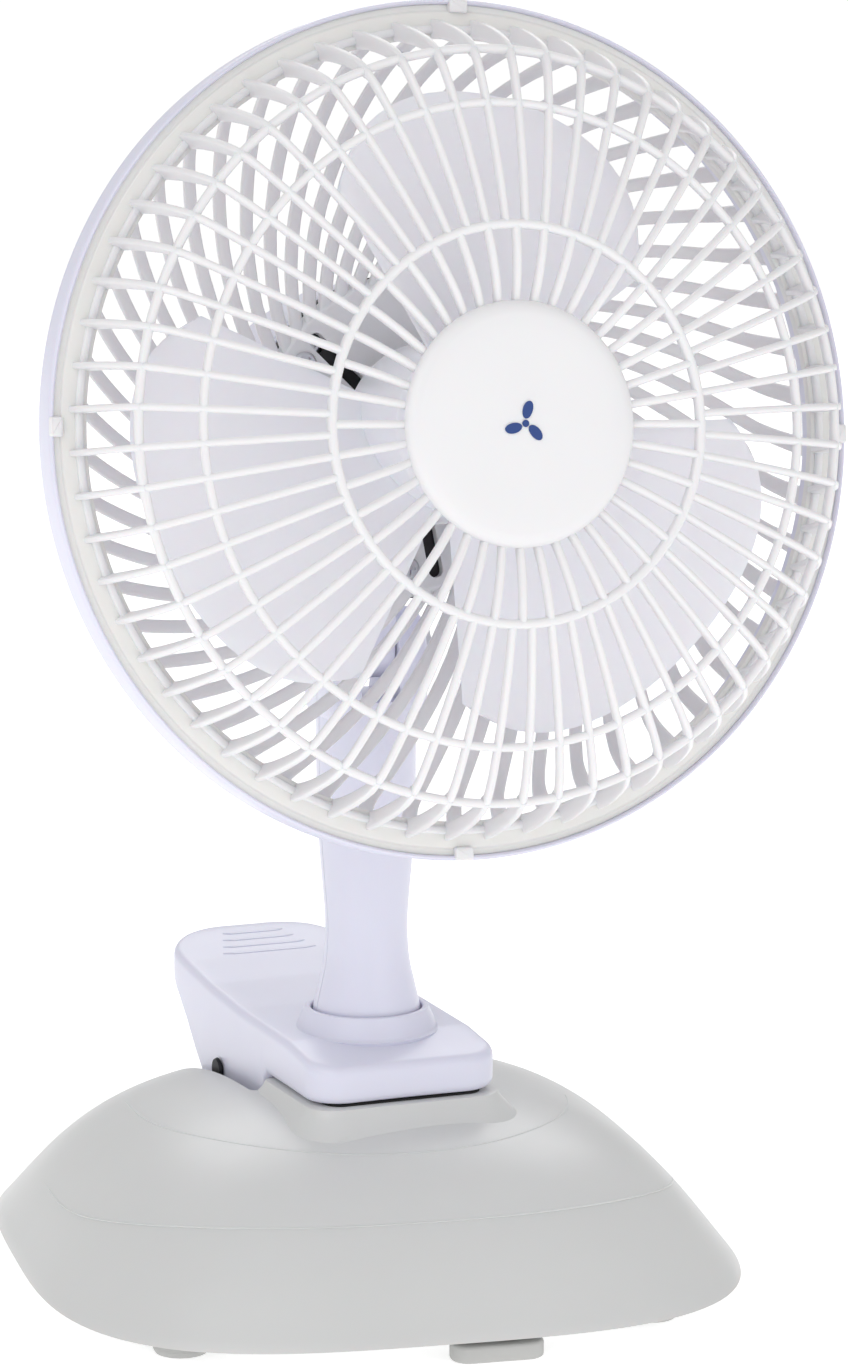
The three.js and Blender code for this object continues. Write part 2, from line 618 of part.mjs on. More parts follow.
function bearingBracket(front) {
  const outline = roundedRectangle([-14.5, 14.5], [-6, 6], 3);
  outline.holes.push(circle(4.6));
  const plate = along(outline, [front, front + 1.5]);
  const feet = [-1, 1].map((s) => {
    const reach = front < STACK_FRONT ? [front + 1, STACK_FRONT - GAP] : [STACK_FRONT + STACK_DEPTH + GAP, front + 0.5];
    return box([s * 13 - 1.4, s * 13 + 1.4], reach, [-4, 4]);
  });
  return join(plate, ...feet);
}

function bush(front) {
  const bore = SHAFT_RADIUS + 0.25;
  return lathe([[bore, front], [4.2, front], [4.2, front + 5], [bore, front + 5], [bore, front]], 20);
}

const FRONT_BRACKET_Y = 36;
const REAR_BRACKET_Y = 65;
place(head, 'stator_core', statorCore(), finish.lamination);
place(head, 'stator_coil', coil(), finish.copper);
place(head, 'front_bearing_bracket', bearingBracket(FRONT_BRACKET_Y), finish.steel);
place(head, 'rear_bearing_bracket', bearingBracket(REAR_BRACKET_Y), finish.steel);
place(head, 'front_bush', bush(FRONT_BRACKET_Y - 2), finish.brass);
place(head, 'rear_bush', bush(REAR_BRACKET_Y - 2), finish.brass);

// ---- switch and cord gland ----
const switchBack = HOUSING_BACK - HOUSING_WALL - GAP;
const switchBody = join(
  rod('y', 8, 5, [0, switchBack - 5, SWITCH_Z], 20),
  rod('y', 1.6, 10.5, [0, switchBack - 1, SWITCH_Z], 12),
);
place(head, 'speed_switch', switchBody, finish.black);

function speedKnob() {
  const start = HOUSING_BACK + GAP;
  const grip = box([-1.6, 1.6], [start + 3, start + 9], [SWITCH_Z - 8, SWITCH_Z + 8]);
  const skirt = rod('y', 9.4, 4, [0, start, SWITCH_Z], 28, 8.6);
  const socket = rod('y', 1.6 + GAP, 13, [0, start - 5, SWITCH_Z], 12);
  return cut(join(skirt, grip), socket);
}
place(head, 'speed_knob', speedKnob(), finish.guardWhite);

const gland = cut(
  join(
    rod('y', 4, 8, [0, HOUSING_BACK - 4, GLAND_Z], 16),
    rod('y', 5, 2.4, [0, HOUSING_BACK + GAP, GLAND_Z], 16),
  ),
  rod('y', 2.1, 20, [0, HOUSING_BACK - 8, GLAND_Z], 12),
);
place(head, 'cord_gland', gland, finish.black);

// ---- rotor ----
const rotor = new THREE.Group();
head.add(rotor);

// One broad blade, a thin twisted sheet from the hub out to the tip circle. Its leading edge stands forward.
function bladeSheet(turn) {
  const steps = { out: 5, around: 7 };
  const thickness = 1.6;
  const positions = [];
  const rootRadius = HUB_RADIUS - 3;
  for (const face of [-1, 1]) {
    for (let i = 0; i <= steps.out; i += 1) {
      const u = i / steps.out;
      const radius = rootRadius + (BLADE_TIP - rootRadius) * u;
      const rise = 12 + 3 * u;
      for (let j = 0; j <= steps.around; j += 1) {
        const v = (j / steps.around) * 2 - 1;
        const cornerTrim = 1 - 0.2 * u ** 5 * v ** 4;
        const angle = turn + rad(BLADE_HALF_SPAN) * v;
        const ahead = 1 + rise * v * (1 - 0.18 * v * v) + (face * thickness) / 2;
        const r = radius * cornerTrim;
        positions.push(r * Math.cos(angle), -ahead, r * Math.sin(angle));
      }
    }
  }
  const row = steps.around + 1;
  const layer = row * (steps.out + 1);
  const index = [];
  const quad = (a, b, c, d) => index.push(a, c, b, a, d, c);
  for (let i = 0; i < steps.out; i += 1) {
    for (let j = 0; j < steps.around; j += 1) {
      const a = i * row + j;
      quad(a, a + row, a + row + 1, a + 1);
      quad(layer + a, layer + a + 1, layer + a + row + 1, layer + a + row);
    }
    const first = i * row;
    const last = first + steps.around;
    quad(first, layer + first, layer + first + row, first + row);
    quad(last, last + row, layer + last + row, layer + last);
  }
  for (let j = 0; j < steps.around; j += 1) {
    const tip = steps.out * row + j;
    quad(j, j + 1, layer + j + 1, layer + j);
    quad(tip, layer + tip, layer + tip + 1, tip + 1);
  }
  const geometry = new THREE.BufferGeometry();
  geometry.setAttribute('position', new THREE.Float32BufferAttribute(positions, 3));
  geometry.setIndex(index);
  return geometry;
}

function impeller() {
  const hub = turnedHead([
    [0, 22], [11, 22], [17, 20.5], [HUB_RADIUS, 16], [HUB_RADIUS, -15], [HUB_RADIUS - 2, -15], [HUB_RADIUS - 2, 14],
    [15.5, 18], [5.5, 19.5], [5.5, -6], [0, -6],
  ], 20);
  const blades = Array.from({ length: BLADE_COUNT }, (_, i) => bladeSheet(rad(BLADE_TURN + (360 / BLADE_COUNT) * i)));
  const inside = rod('y', HUB_RADIUS - 2, 29, [0, -14, 0], 20);
  const trimmed = blades.map((blade) => cut(blade, inside));
  const bore = rod('y', SHAFT_RADIUS + GAP, 40, [0, -15, 0], 16);
  const nose = rod('y', 3.2, 4, [0, -23, 0], 14);
  return cut(join(hub, ...trimmed), bore, nose, rod('y', 1.5, 8, [0, -21, 0], 8));
}

place(rotor, 'impeller', impeller(), finish.bladeWhite);
place(rotor, 'motor_shaft', rod('y', SHAFT_RADIUS, 84, [0, -14.5, 0], 16), finish.steel);
const coreBore = SHAFT_RADIUS + 0.15;
const rotorCore = lathe([
  [coreBore, STACK_FRONT], [ROTOR_RADIUS, STACK_FRONT], [ROTOR_RADIUS, STACK_FRONT + STACK_DEPTH],
  [coreBore, STACK_FRONT + STACK_DEPTH], [coreBore, STACK_FRONT],
], 28);
place(rotor, 'rotor_core', rotorCore, finish.lamination);
const hubScrew = join(rod('y', 2.6, 1.6, [0, -22.6, 0], 14), rod('y', 1.2, 5.6, [0, -21.2, 0], 8));
place(rotor, 'impeller_screw', hubScrew, finish.steel);

// ---- guards ----
// A thin upright plate following an (r, ahead) outline, turned about the fan axis.
function ribPlate(points, width, angle) {
  const shape = shapeOf(points.map(([r, ahead]) => [r, ahead]));
  const geometry = slab(shape, width, 1).translate(0, 0, -width / 2);
  // outline x -> radius along +X, outline y -> ahead (-Y), thickness -> Z
  geometry.rotateX(Math.PI);
  return geometry.rotateY(angle);
}

function guardRing(radius, ahead, width, depth, sides = 30) {
  const r0 = radius - width / 2;
  const r1 = radius + width / 2;
  const a0 = ahead - depth / 2;
  const a1 = ahead + depth / 2;
  return turnedHead([[r0, a0], [r1, a0], [r1, a1], [r0, a1], [r0, a0]], sides);
}

function frontGuard() {
  const flange = turnedHead([[84.5, 0.4], [84.5, 2.6], [91.6, 2.6], [91.6, 0.4], [84.5, 0.4]], 36);
  const rings = [
    guardRing(RING_OUTER.radius, RING_OUTER.ahead, 1.6, 1.6),
    guardRing(RING_MIDDLE.radius, RING_MIDDLE.ahead, 1.6, 1.6),
    guardRing(RING_INNER.radius, RING_INNER.ahead, 3, 3.4),
  ];
  const { radius: ra, ahead: aa } = RING_OUTER;
  const { radius: rb, ahead: ab } = RING_MIDDLE;
  const { radius: rc, ahead: ac } = RING_INNER;
  const t = SPOKE_DEPTH / 2;
  const outerRib = [
    [88.6, 1.4], [85, 1.4], [ra - t, aa - t], [rb, ab - t], [rc, ac - t / 2], [rc, ac + t / 2], [rb, ab + t], [ra + t, aa + t],
  ];
  const innerRib = [[rc, ac - t / 2], [CAP_RADIUS - 4, 32.6], [CAP_RADIUS - 4, 34.2], [rc, ac + t / 2]].reverse();
  const outer = Array.from({ length: OUTER_SPOKES }, (_, i) => ribPlate(outerRib, SPOKE_WIDTH, rad(6.6 + (360 / OUTER_SPOKES) * i)));
  const inner = Array.from({ length: INNER_SPOKES }, (_, i) => ribPlate(innerRib, SPOKE_WIDTH, rad(6.6 + (360 / INNER_SPOKES) * i)));
  const core = guardRing(CAP_RADIUS - 4.2, 33.4, 3, 3, 24);
  const tabs = [0, 90, 180, 270].map((angle) => (
    box([84.8, 90.5], [-6, -1], [-5, 5]).rotateY(rad(angle))));
  return join(flange, ...rings, core, ...outer, ...inner, ...tabs);
}

// A flat back rib swirling inwards: stations of [radius, ahead], each turned further the nearer it is to the axis.
function swirledRib(turn) {
  const stations = [[RIM_RADIUS - 4, -3], [84.5, -15], [74, -22.5], [56, -GUARD_BACK - 0.6], [MOUNT_RADIUS - 1, -GUARD_BACK - 1]];
  const half = { width: 1.1, thickness: 0.8 };
  const positions = [];
  stations.forEach(([radius, ahead], i) => {
    const [r0, a0] = stations[Math.max(0, i - 1)];
    const [r1, a1] = stations[Math.min(stations.length - 1, i + 1)];
    const length = Math.hypot(r1 - r0, a1 - a0);
    const out = [((a0 - a1) / length) * half.thickness, ((r1 - r0) / length) * half.thickness];
    const angle = turn + BACK_SWIRL * Math.log(RIM_RADIUS / radius);
    const lean = Math.atan(BACK_SWIRL);
    for (const [side, face] of [[-1, -1], [1, -1], [1, 1], [-1, 1]]) {
      const r = radius + face * out[0] + side * half.width * Math.sin(lean);
      const across = side * half.width * Math.cos(lean);
      const x = r * Math.cos(angle) - across * Math.sin(angle);
      const z = r * Math.sin(angle) + across * Math.cos(angle);
      positions.push(x, -(ahead + face * out[1]), z);
    }
  });
  const index = [];
  const quad = (a, b, c, d) => index.push(a, b, c, a, c, d);
  for (let i = 0; i + 1 < stations.length; i += 1) {
    for (let j = 0; j < 4; j += 1) {
      const next = (j + 1) % 4;
      quad(i * 4 + j, i * 4 + next, i * 4 + 4 + next, i * 4 + 4 + j);
    }
  }
  const last = (stations.length - 1) * 4;
  quad(3, 2, 1, 0);
  quad(last, last + 1, last + 2, last + 3);
  const geometry = new THREE.BufferGeometry();
  geometry.setAttribute('position', new THREE.Float32BufferAttribute(positions, 3));
  geometry.setIndex(index);
  return geometry;
}

function rearGuard() {
  const rim = turnedHead([
    [RIM_RADIUS - 6.5, -6], [RIM_RADIUS - 2, -6], [RIM_RADIUS, -4.5], [RIM_RADIUS, 2.8], [RIM_RADIUS - 1, 3.4],
    [RIM_RADIUS - 1, GAP - 0.2], [RIM_RADIUS - 6.5, GAP - 0.2], [RIM_RADIUS - 6.5, -6],
  ], 36);
  const plate = turnedHead([
    [8, -GUARD_BACK - 2.1], [8, -GUARD_BACK], [MOUNT_RADIUS, -GUARD_BACK],
    [MOUNT_RADIUS + 2, -GUARD_BACK - 2.1], [8, -GUARD_BACK - 2.1],
  ], 28);
  const slots = Array.from({ length: MOUNT_SLOTS.count }, (_, i) => {
    const slot = box([MOUNT_SLOTS.from, MOUNT_SLOTS.to], [GUARD_BACK - 3, GUARD_BACK + 5], [-1, 1].map((s) => (s * MOUNT_SLOTS.width) / 2));
    return slot.rotateY(-rad(MOUNT_SLOTS.phase + (360 / MOUNT_SLOTS.count) * i));
  });
  const ribs = Array.from({ length: BACK_RIBS }, (_, i) => swirledRib(rad((360 / BACK_RIBS) * i)));
  return cut(
    join(rim, plate, ...ribs),
    ...GUARD_SCREWS.map(([x, z]) => rod('y', 1.6, 10, [x, GUARD_BACK - 3, z], 8)),
    ...slots,
  );
}

place(head, 'rear_guard', rearGuard(), finish.guardWhite);
place(head, 'front_guard', frontGuard(), finish.guardWhite);
GUARD_SCREWS.forEach((spot, i) => {
  place(head, `guard_screw_${i + 1}`, headScrew(spot, GUARD_BACK - GAP - 1.4, 4.6), finish.steel);
});
const cap = turnedHead([
  [0, 35.4], [CAP_RADIUS - 2, 35.4], [CAP_RADIUS, 36], [CAP_RADIUS - 0.4, 37.4], [CAP_RADIUS - 2, CAP_FRONT - 0.1], [0, CAP_FRONT],
], 24);
place(head, 'hub_cap', cap, finish.guardWhite);

const bounds = new THREE.Box3().setFromObject(fan, true);
const middle = bounds.getCenter(new THREE.Vector3());
fan.position.set(-middle.x, -middle.y, -bounds.min.z);

export default fan;
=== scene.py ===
"""A small clip-on desk fan standing on its own weighted base, built as a set of operators."""

import json
from math import cos, hypot, log, pi, radians, sin, sqrt

import bmesh
import bpy
from bpy.props import FloatProperty, FloatVectorProperty, IntProperty, PointerProperty
from mathutils import Matrix, Vector


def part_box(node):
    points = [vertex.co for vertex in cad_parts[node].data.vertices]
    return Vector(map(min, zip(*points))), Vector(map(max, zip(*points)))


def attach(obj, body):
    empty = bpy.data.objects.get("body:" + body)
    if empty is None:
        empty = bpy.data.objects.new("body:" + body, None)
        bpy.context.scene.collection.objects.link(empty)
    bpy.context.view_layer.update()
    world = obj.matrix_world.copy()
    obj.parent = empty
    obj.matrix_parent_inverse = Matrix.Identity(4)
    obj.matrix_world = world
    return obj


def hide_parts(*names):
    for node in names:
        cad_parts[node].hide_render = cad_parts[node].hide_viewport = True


bl_info = {
    "name": "Desk fan",
    "version": (1, 0, 0),
    "blender": (4, 5, 0),
    "location": "View3D > Sidebar > Desk Fan",
    "description": "Builds a clip-on desk fan piece by piece",
    "category": "Object",
}

MM = 0.001
TAU = 2 * pi

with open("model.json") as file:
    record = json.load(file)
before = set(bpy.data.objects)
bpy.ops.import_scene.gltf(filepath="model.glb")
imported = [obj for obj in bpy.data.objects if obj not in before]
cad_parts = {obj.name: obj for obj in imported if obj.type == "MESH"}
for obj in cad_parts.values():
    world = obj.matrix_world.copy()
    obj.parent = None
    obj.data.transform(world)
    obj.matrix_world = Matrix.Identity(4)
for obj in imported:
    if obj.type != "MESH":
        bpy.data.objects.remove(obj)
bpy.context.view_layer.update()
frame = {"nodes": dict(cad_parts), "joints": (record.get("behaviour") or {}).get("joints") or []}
JOINTS = {joint["name"]: joint for joint in frame["joints"]}


# ---- where things stand -------------------------------------------------------------------------


def axes_at(origin, x_axis=(1, 0, 0), back=(0, 1, 0)):
    """A matrix from millimetres about a local point to the row frame in metres."""
    x = Vector(x_axis).normalized()
    y = Vector(back).normalized()
    z = x.cross(y)
    matrix = Matrix((x, y, z)).transposed().to_4x4()
    matrix.translation = Vector(origin)
    return matrix @ Matrix.Scale(MM, 4)


post = JOINTS["neck_swivel"]["pos_m"]
tilt_axis = Vector(JOINTS["head_tilt"]["axis"])
fan_axis = Vector(JOINTS["impeller_spin"]["axis"])
STAND = axes_at((post[0], post[1], 0))
UNIT = axes_at((post[0], post[1], 0), -tilt_axis, Vector((0, 0, 1)).cross(-tilt_axis))
HEAD = axes_at(JOINTS["impeller_spin"]["pos_m"], -tilt_axis, -fan_axis)


def span(node):
    """Lowest and highest height of a CAD node, in millimetres."""
    low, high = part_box(node)
    return low.z / MM, high.z / MM


# ---- sizes and colours --------------------------------------------------------------------------


def length(name, description, default):
    return FloatProperty(
        name=name, description=description, default=default, min=0, unit="LENGTH", precision=4
    )


def colour(name, description, default):
    return FloatVectorProperty(
        name=name, description=description, default=default, size=3, min=0, max=1, subtype="COLOR"
    )


class DeskFanBaseSettings(bpy.types.PropertyGroup):
    """Sizes and colour of the weighted base."""

    half_width: length("Half width", "Half the width of the dome", 0.082)
    half_depth: length("Half depth", "Half the depth of the dome", 0.088)
    crown: length("Crown", "Height of the dome's crown above the table", 0.046)
    shade: colour("Colour", "Warm light grey of the base", (0.65, 0.655, 0.65))


class DeskFanClipSettings(bpy.types.PropertyGroup):
    """Sizes and colour of the clip and its post."""

    jaw_width: length("Jaw width", "Width of the upper jaw", 0.046)
    shade: colour("Colour", "Cool white of the clip, post and motor housing", (0.73, 0.73, 0.85))


class DeskFanGuardSettings(bpy.types.PropertyGroup):
    """Sizes, counts and colours of the two guards."""

    rim_radius: length("Rim radius", "Outer radius of the rear guard's rim", 0.093)
    spoke_width: length("Spoke width", "Width of a front spoke", 0.0017)
    outer_spokes: IntProperty(
        name="Outer spokes", description="Spokes outside the inner ring", default=60, min=12
    )
    inner_spokes: IntProperty(
        name="Inner spokes", description="Spokes inside the inner ring", default=40, min=8
    )
    back_ribs: IntProperty(name="Back ribs", description="Swirled ribs of the rear guard", default=50, min=12)
    shade: colour("Colour", "White of the guards", (0.82, 0.815, 0.83))
    icon_shade: colour("Icon colour", "Navy of the hub cap's icon", (0.012, 0.05, 0.22))


class DeskFanBladeSettings(bpy.types.PropertyGroup):
    """Sizes and colour of the impeller."""

    tip_radius: length("Tip radius", "Radius of the blade tips", 0.073)
    blade_count: IntProperty(name="Blades", description="Number of blades", default=3, min=2)
    half_span: FloatProperty(
        name="Half span", description="Half the angle that a blade covers", default=radians(43.5),
        unit="ROTATION"
    )
    shade: colour("Colour", "White of the impeller", (0.92, 0.92, 0.98))


# ---- materials ----------------------------------------------------------------------------------


def moulded(name, shade, roughness, mottle=0.02, grain=0.12, grain_scale=2600.0, soft=0.0):
    """Moulded plastic or rubber: faint cloudy colour, uneven gloss and a fine grain in the skin."""
    material = bpy.data.materials.new(name)
    material.use_nodes = True
    nodes, links = material.node_tree.nodes, material.node_tree.links
    shader = nodes["Principled BSDF"]
    shader.inputs["IOR"].default_value = 1.5
    shader.inputs["Subsurface Weight"].default_value = soft
    shader.inputs["Subsurface Scale"].default_value = 0.002
    where = nodes.new("ShaderNodeTexCoord")

    cloud = nodes.new("ShaderNodeTexNoise")
    cloud.inputs["Scale"].default_value = 28.0
    cloud.inputs["Detail"].default_value = 5.0
    links.new(where.outputs["Object"], cloud.inputs["Vector"])
    ramp = nodes.new("ShaderNodeValToRGB")
    ramp.color_ramp.elements[0].position = 0.3
    ramp.color_ramp.elements[1].position = 0.7
    ramp.color_ramp.elements[0].color = (*(c * (1 - mottle) for c in shade), 1)
    ramp.color_ramp.elements[1].color = (*(min(1.0, c * (1 + mottle)) for c in shade), 1)
    links.new(cloud.outputs["Fac"], ramp.inputs["Fac"])
    links.new(ramp.outputs["Color"], shader.inputs["Base Color"])

    handling = nodes.new("ShaderNodeTexNoise")
    handling.inputs["Scale"].default_value = 160.0
    handling.inputs["Detail"].default_value = 3.0
    links.new(where.outputs["Object"], handling.inputs["Vector"])
    gloss = nodes.new("ShaderNodeMapRange")
    gloss.inputs["To Min"].default_value = roughness * 0.85
    gloss.inputs["To Max"].default_value = min(1.0, roughness * 1.15)
    links.new(handling.outputs["Fac"], gloss.inputs["Value"])
    links.new(gloss.outputs["Result"], shader.inputs["Roughness"])

    skin = nodes.new("ShaderNodeTexNoise")
    skin.inputs["Scale"].default_value = grain_scale
    skin.inputs["Detail"].default_value = 2.0
    links.new(where.outputs["Object"], skin.inputs["Vector"])
    bump = nodes.new("ShaderNodeBump")
    bump.inputs["Strength"].default_value = grain
    bump.inputs["Distance"].default_value = 0.00008
    links.new(skin.outputs["Fac"], bump.inputs["Height"])
    links.new(bump.outputs["Normal"], shader.inputs["Normal"])
    return material


def metal(name, shade, roughness, brushed=False):
    """Bare or plated metal with fine scratches, drawn out along one direction if brushed."""
    material = moulded(name, shade, roughness, mottle=0.06, grain=0.2, grain_scale=1400.0)
    material.node_tree.nodes["Principled BSDF"].inputs["Metallic"].default_value = 1.0
    if brushed:
        nodes, links = material.node_tree.nodes, material.node_tree.links
        stretch = nodes.new("ShaderNodeMapping")
        stretch.inputs["Scale"].default_value = (0.05, 0.05, 1.0)
        where = next(n for n in nodes if n.type == "TEX_COORD")
        skin = next(n for n in nodes if n.type == "TEX_NOISE" and n.inputs["Scale"].default_value > 1000)
        links.new(where.outputs["Object"], stretch.inputs["Vector"])
        links.new(stretch.outputs["Vector"], skin.inputs["Vector"])
    return material


finishes = {}


def finish(name):
    """The finish of that name, made the first time it is asked for."""
    scene = bpy.context.scene
    recipes = {
        "base_grey": lambda: moulded(
            "base grey", scene.desk_fan_base.shade, 0.33, 0.010, 0.015, 350.0, soft=0.05
        ),
        "clip_white": lambda: moulded("clip white", scene.desk_fan_clip.shade, 0.32, 0.012, 0.10, soft=0.08),
        "guard_white": lambda: moulded(
            "guard white", scene.desk_fan_guard.shade, 0.34, 0.012, 0.10, soft=0.1
        ),
        "flange_white": lambda: moulded("flange warm white", (0.80, 0.79, 0.77), 0.36, 0.02, 0.10, soft=0.1),
        "blade_white": lambda: moulded(
            "blade white", scene.desk_fan_blade.shade, 0.22, 0.012, 0.05, soft=0.15
        ),
        "black_plastic": lambda: moulded("black plastic", (0.012, 0.012, 0.014), 0.45, 0.2, 0.25),
        "pad_rubber": lambda: moulded("pad rubber", (0.015, 0.015, 0.015), 0.8, 0.25, 0.5, 1200.0),
        "foot_rubber": lambda: moulded("foot rubber", (0.52, 0.52, 0.51), 0.75, 0.05, 0.4, 1500.0),
        "navy": lambda: moulded("navy print", scene.desk_fan_guard.icon_shade, 0.4, 0.05, 0.05),
        "steel": lambda: metal("zinc plate", (0.66, 0.67, 0.70), 0.3),
        "black_oxide": lambda: metal("black oxide steel", (0.03, 0.03, 0.035), 0.5),
        "laminations": lambda: metal("laminated steel", (0.16, 0.17, 0.19), 0.55, brushed=True),
        "cast_iron": lambda: moulded("cast iron", (0.05, 0.05, 0.055), 0.85, 0.3, 0.9, 700.0),
        "copper": lambda: metal("enamelled copper", (0.50, 0.18, 0.08), 0.35, brushed=True),
        "brass": lambda: metal("sintered bronze", (0.45, 0.30, 0.10), 0.45),
    }
    if name not in finishes:
        finishes[name] = recipes[name]()
    return finishes[name]


# ---- mesh work, in millimetres about a local point ----------------------------------------------


def draft(name, verts, faces):
    """A welded mesh object in millimetres with its faces pointing out, not yet in its place."""
    mesh = bpy.data.meshes.new(name)
    mesh.from_pydata([tuple(v) for v in verts], [], faces)
    work = bmesh.new()
    work.from_mesh(mesh)
    bmesh.ops.remove_doubles(work, verts=work.verts, dist=1e-3)
    bmesh.ops.dissolve_degenerate(work, edges=work.edges, dist=1e-3)
    bmesh.ops.recalc_face_normals(work, faces=work.faces)
    work.to_mesh(mesh)
    work.free()
    made = bpy.data.objects.new(name, mesh)
    bpy.context.scene.collection.objects.link(made)
    return made


def bake(made):
    """Turns the object with its modifiers into a plain mesh."""
    evaluated = made.evaluated_get(bpy.context.evaluated_depsgraph_get())
    mesh = bpy.data.meshes.new_from_object(evaluated)
    before = made.data
    made.modifiers.clear()
    made.data = mesh
    bpy.data.meshes.remove(before)
    return made


def shape_with(made, operation, *tools):
    """Joins the tools to the object or cuts them out of it, and removes them."""
    for tool in tools:
        modifier = made.modifiers.new(operation.title(), "BOOLEAN")
        modifier.operation = operation
        modifier.solver = "EXACT"
        modifier.object = tool
    bake(made)
    for tool in tools:
        bpy.data.objects.remove(tool)
    return made


def moved(made, matrix):
    made.data.transform(matrix)
    return made


def merged(name, *parts):
    """One object holding the meshes of several drafts."""
    work = bmesh.new()
    for part in parts:
        work.from_mesh(part.data)
        bpy.data.objects.remove(part)
    mesh = bpy.data.meshes.new(name)
    work.to_mesh(mesh)
    work.free()
    made = bpy.data.objects.new(name, mesh)
    bpy.context.scene.collection.objects.link(made)
    return made


def settle(made, place, body, slot, nodes=(), material=None, sharp=32.0):
    """Puts a finished draft in its place, shades it, gives it its finish and lets it ride on its body."""
    made.data.transform(place)
    made.data.materials.clear()
    made.data.materials.append(material or finish(slot))
    work = bmesh.new()
    work.from_mesh(made.data)
    for face in work.faces:
        face.smooth = True
        face.material_index = 0
    limit = radians(sharp)
    for edge in work.edges:
        edge.smooth = len(edge.link_faces) == 2 and edge.calc_face_angle(0.0) < limit
    work.to_mesh(made.data)
    work.free()
    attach(made, body)
    if nodes:
        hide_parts(*nodes)
    return made


def repaint(slot, *nodes):
    """Gives CAD nodes that keep their own shape a finish."""
    for node in nodes:
        made = frame["nodes"][node]
        made.data.materials.clear()
        made.data.materials.append(finish(slot))


def softened(points, radius, steps=4, closed=True):
    """A path with its corners rounded to about the given radius."""
    count = len(points)
    path = []
    for i, point in enumerate(points):
        if not closed and i in (0, count - 1):
            path.append(tuple(point))
            continue
        here = Vector(point)
        before, after = Vector(points[i - 1]) - here, Vector(points[(i + 1) % count]) - here
        reach = min(radius, before.length * 0.48, after.length * 0.48)
        start, end = here + before.normalized() * reach, here + after.normalized() * reach
        for k in range(steps + 1):
            t = k / steps
            path.append(tuple(start * (1 - t) ** 2 + here * 2 * t * (1 - t) + end * t * t))
    return path


def bridge(rows, count, closed_rows=False):
    """Quads between neighbouring rows of `count` points each, every row closed on itself."""
    faces = []
    for i in range(rows if closed_rows else rows - 1):
        for j in range(count):
            a, b = i * count, ((i + 1) % rows) * count
            faces.append((a + j, a + (j + 1) % count, b + (j + 1) % count, b + j))
    return faces


def turned(name, profile, sides=96, about="Z"):
    """A turned body from [radius, height] points. About Y the height is the distance ahead of the rim."""
    verts = []
    for i in range(sides):
        angle = TAU * i / sides
        for radius, height in profile:
            flat = (radius * cos(angle), radius * sin(angle))
            verts.append((*flat, height) if about == "Z" else (flat[0], -height, flat[1]))
    return draft(name, verts, bridge(sides, len(profile), closed_rows=True))


def outline_inset(outline, inset):
    """A counter-clockwise outline moved inwards by `inset`."""
    count = len(outline)
    result = []
    for i in range(count):
        before, after = outline[i - 1], outline[(i + 1) % count]
        du, dv = after[0] - before[0], after[1] - before[1]
        size = hypot(du, dv) or 1.0
        result.append((outline[i][0] - inset * dv / size, outline[i][1] + inset * du / size))
    return result


def pillow(name, outline, profile):
    """A body raised from an outline; the profile lists [inset, height] from the bottom to the top."""
    verts = []
    for inset, height in profile:
        verts += [(u, v, height) for u, v in outline_inset(outline, inset)]
    count, rows = len(outline), len(profile)
    faces = bridge(rows, count)
    faces.append(tuple(range(count))[::-1])
    faces.append(tuple(range((rows - 1) * count, rows * count)))
    return draft(name, verts, faces)


def soft_block_profile(low, high, edge, steps=4):
    """An edge rounded to `edge` at the bottom and the top of a raised body."""
    quarter = [pi / 2 * k / steps for k in range(steps + 1)]
    bottom = [(edge * (1 - sin(a)), low + edge * (1 - cos(a))) for a in quarter]
    return bottom + [(edge * (1 - cos(a)), high - edge * (1 - sin(a))) for a in quarter]


def rounded_rectangle(u0, u1, v0, v1, radius, steps=8, far_radius=None):
    """A counter-clockwise rounded rectangle, its two corners at v1 rounded by far_radius."""
    far = radius if far_radius is None else far_radius
    corners = [
        (u1 - radius, v0 + radius, radius, -pi / 2),
        (u1 - far, v1 - far, far, 0),
        (u0 + far, v1 - far, far, pi / 2),
        (u0 + radius, v0 + radius, radius, pi),
    ]
    return [
        (u + r * cos(a + pi / 2 * k / steps), v + r * sin(a + pi / 2 * k / steps))
        for u, v, r, a in corners
        for k in range(steps + 1)
    ]


def circle(radius, steps=48, u=0.0, v=0.0):
    return [(u + radius * cos(TAU * k / steps), v + radius * sin(TAU * k / steps)) for k in range(steps)]


def section(width, depth, power, steps):
    """Points round a superellipse, from a round bar at power 2 to a flat bar at power 8."""
    points = []
    for k in range(steps):
        c, s = cos(TAU * (k + 0.5) / steps), sin(TAU * (k + 0.5) / steps)
        points.append((
            width / 2 * (abs(c) ** (2 / power)) * (1 if c > 0 else -1),
            depth / 2 * (abs(s) ** (2 / power)) * (1 if s > 0 else -1),
        ))
    return points


def swept(name, path, normals, widths, depths, power=2.4, steps=10, closed=False):
    """A bar along a path: its width lies across, its depth along each point's normal."""
    verts, count = [], len(path)
    for i, point in enumerate(path):
        if closed:
            ahead, behind = Vector(path[(i + 1) % count]), Vector(path[i - 1])
        else:
            ahead, behind = Vector(path[min(count - 1, i + 1)]), Vector(path[max(0, i - 1)])
        tangent = (ahead - behind).normalized()
        across = tangent.cross(Vector(normals[i])).normalized()
        up = across.cross(tangent)
        for a, b in section(widths[i], depths[i], power, steps):
            verts.append(Vector(point) + across * a + up * b)
    faces = bridge(count, steps, closed_rows=closed)
    if not closed:
        faces.append(tuple(range(steps)))
        faces.append(tuple(range((count - 1) * steps, count * steps))[::-1])
    return draft(name, verts, faces)


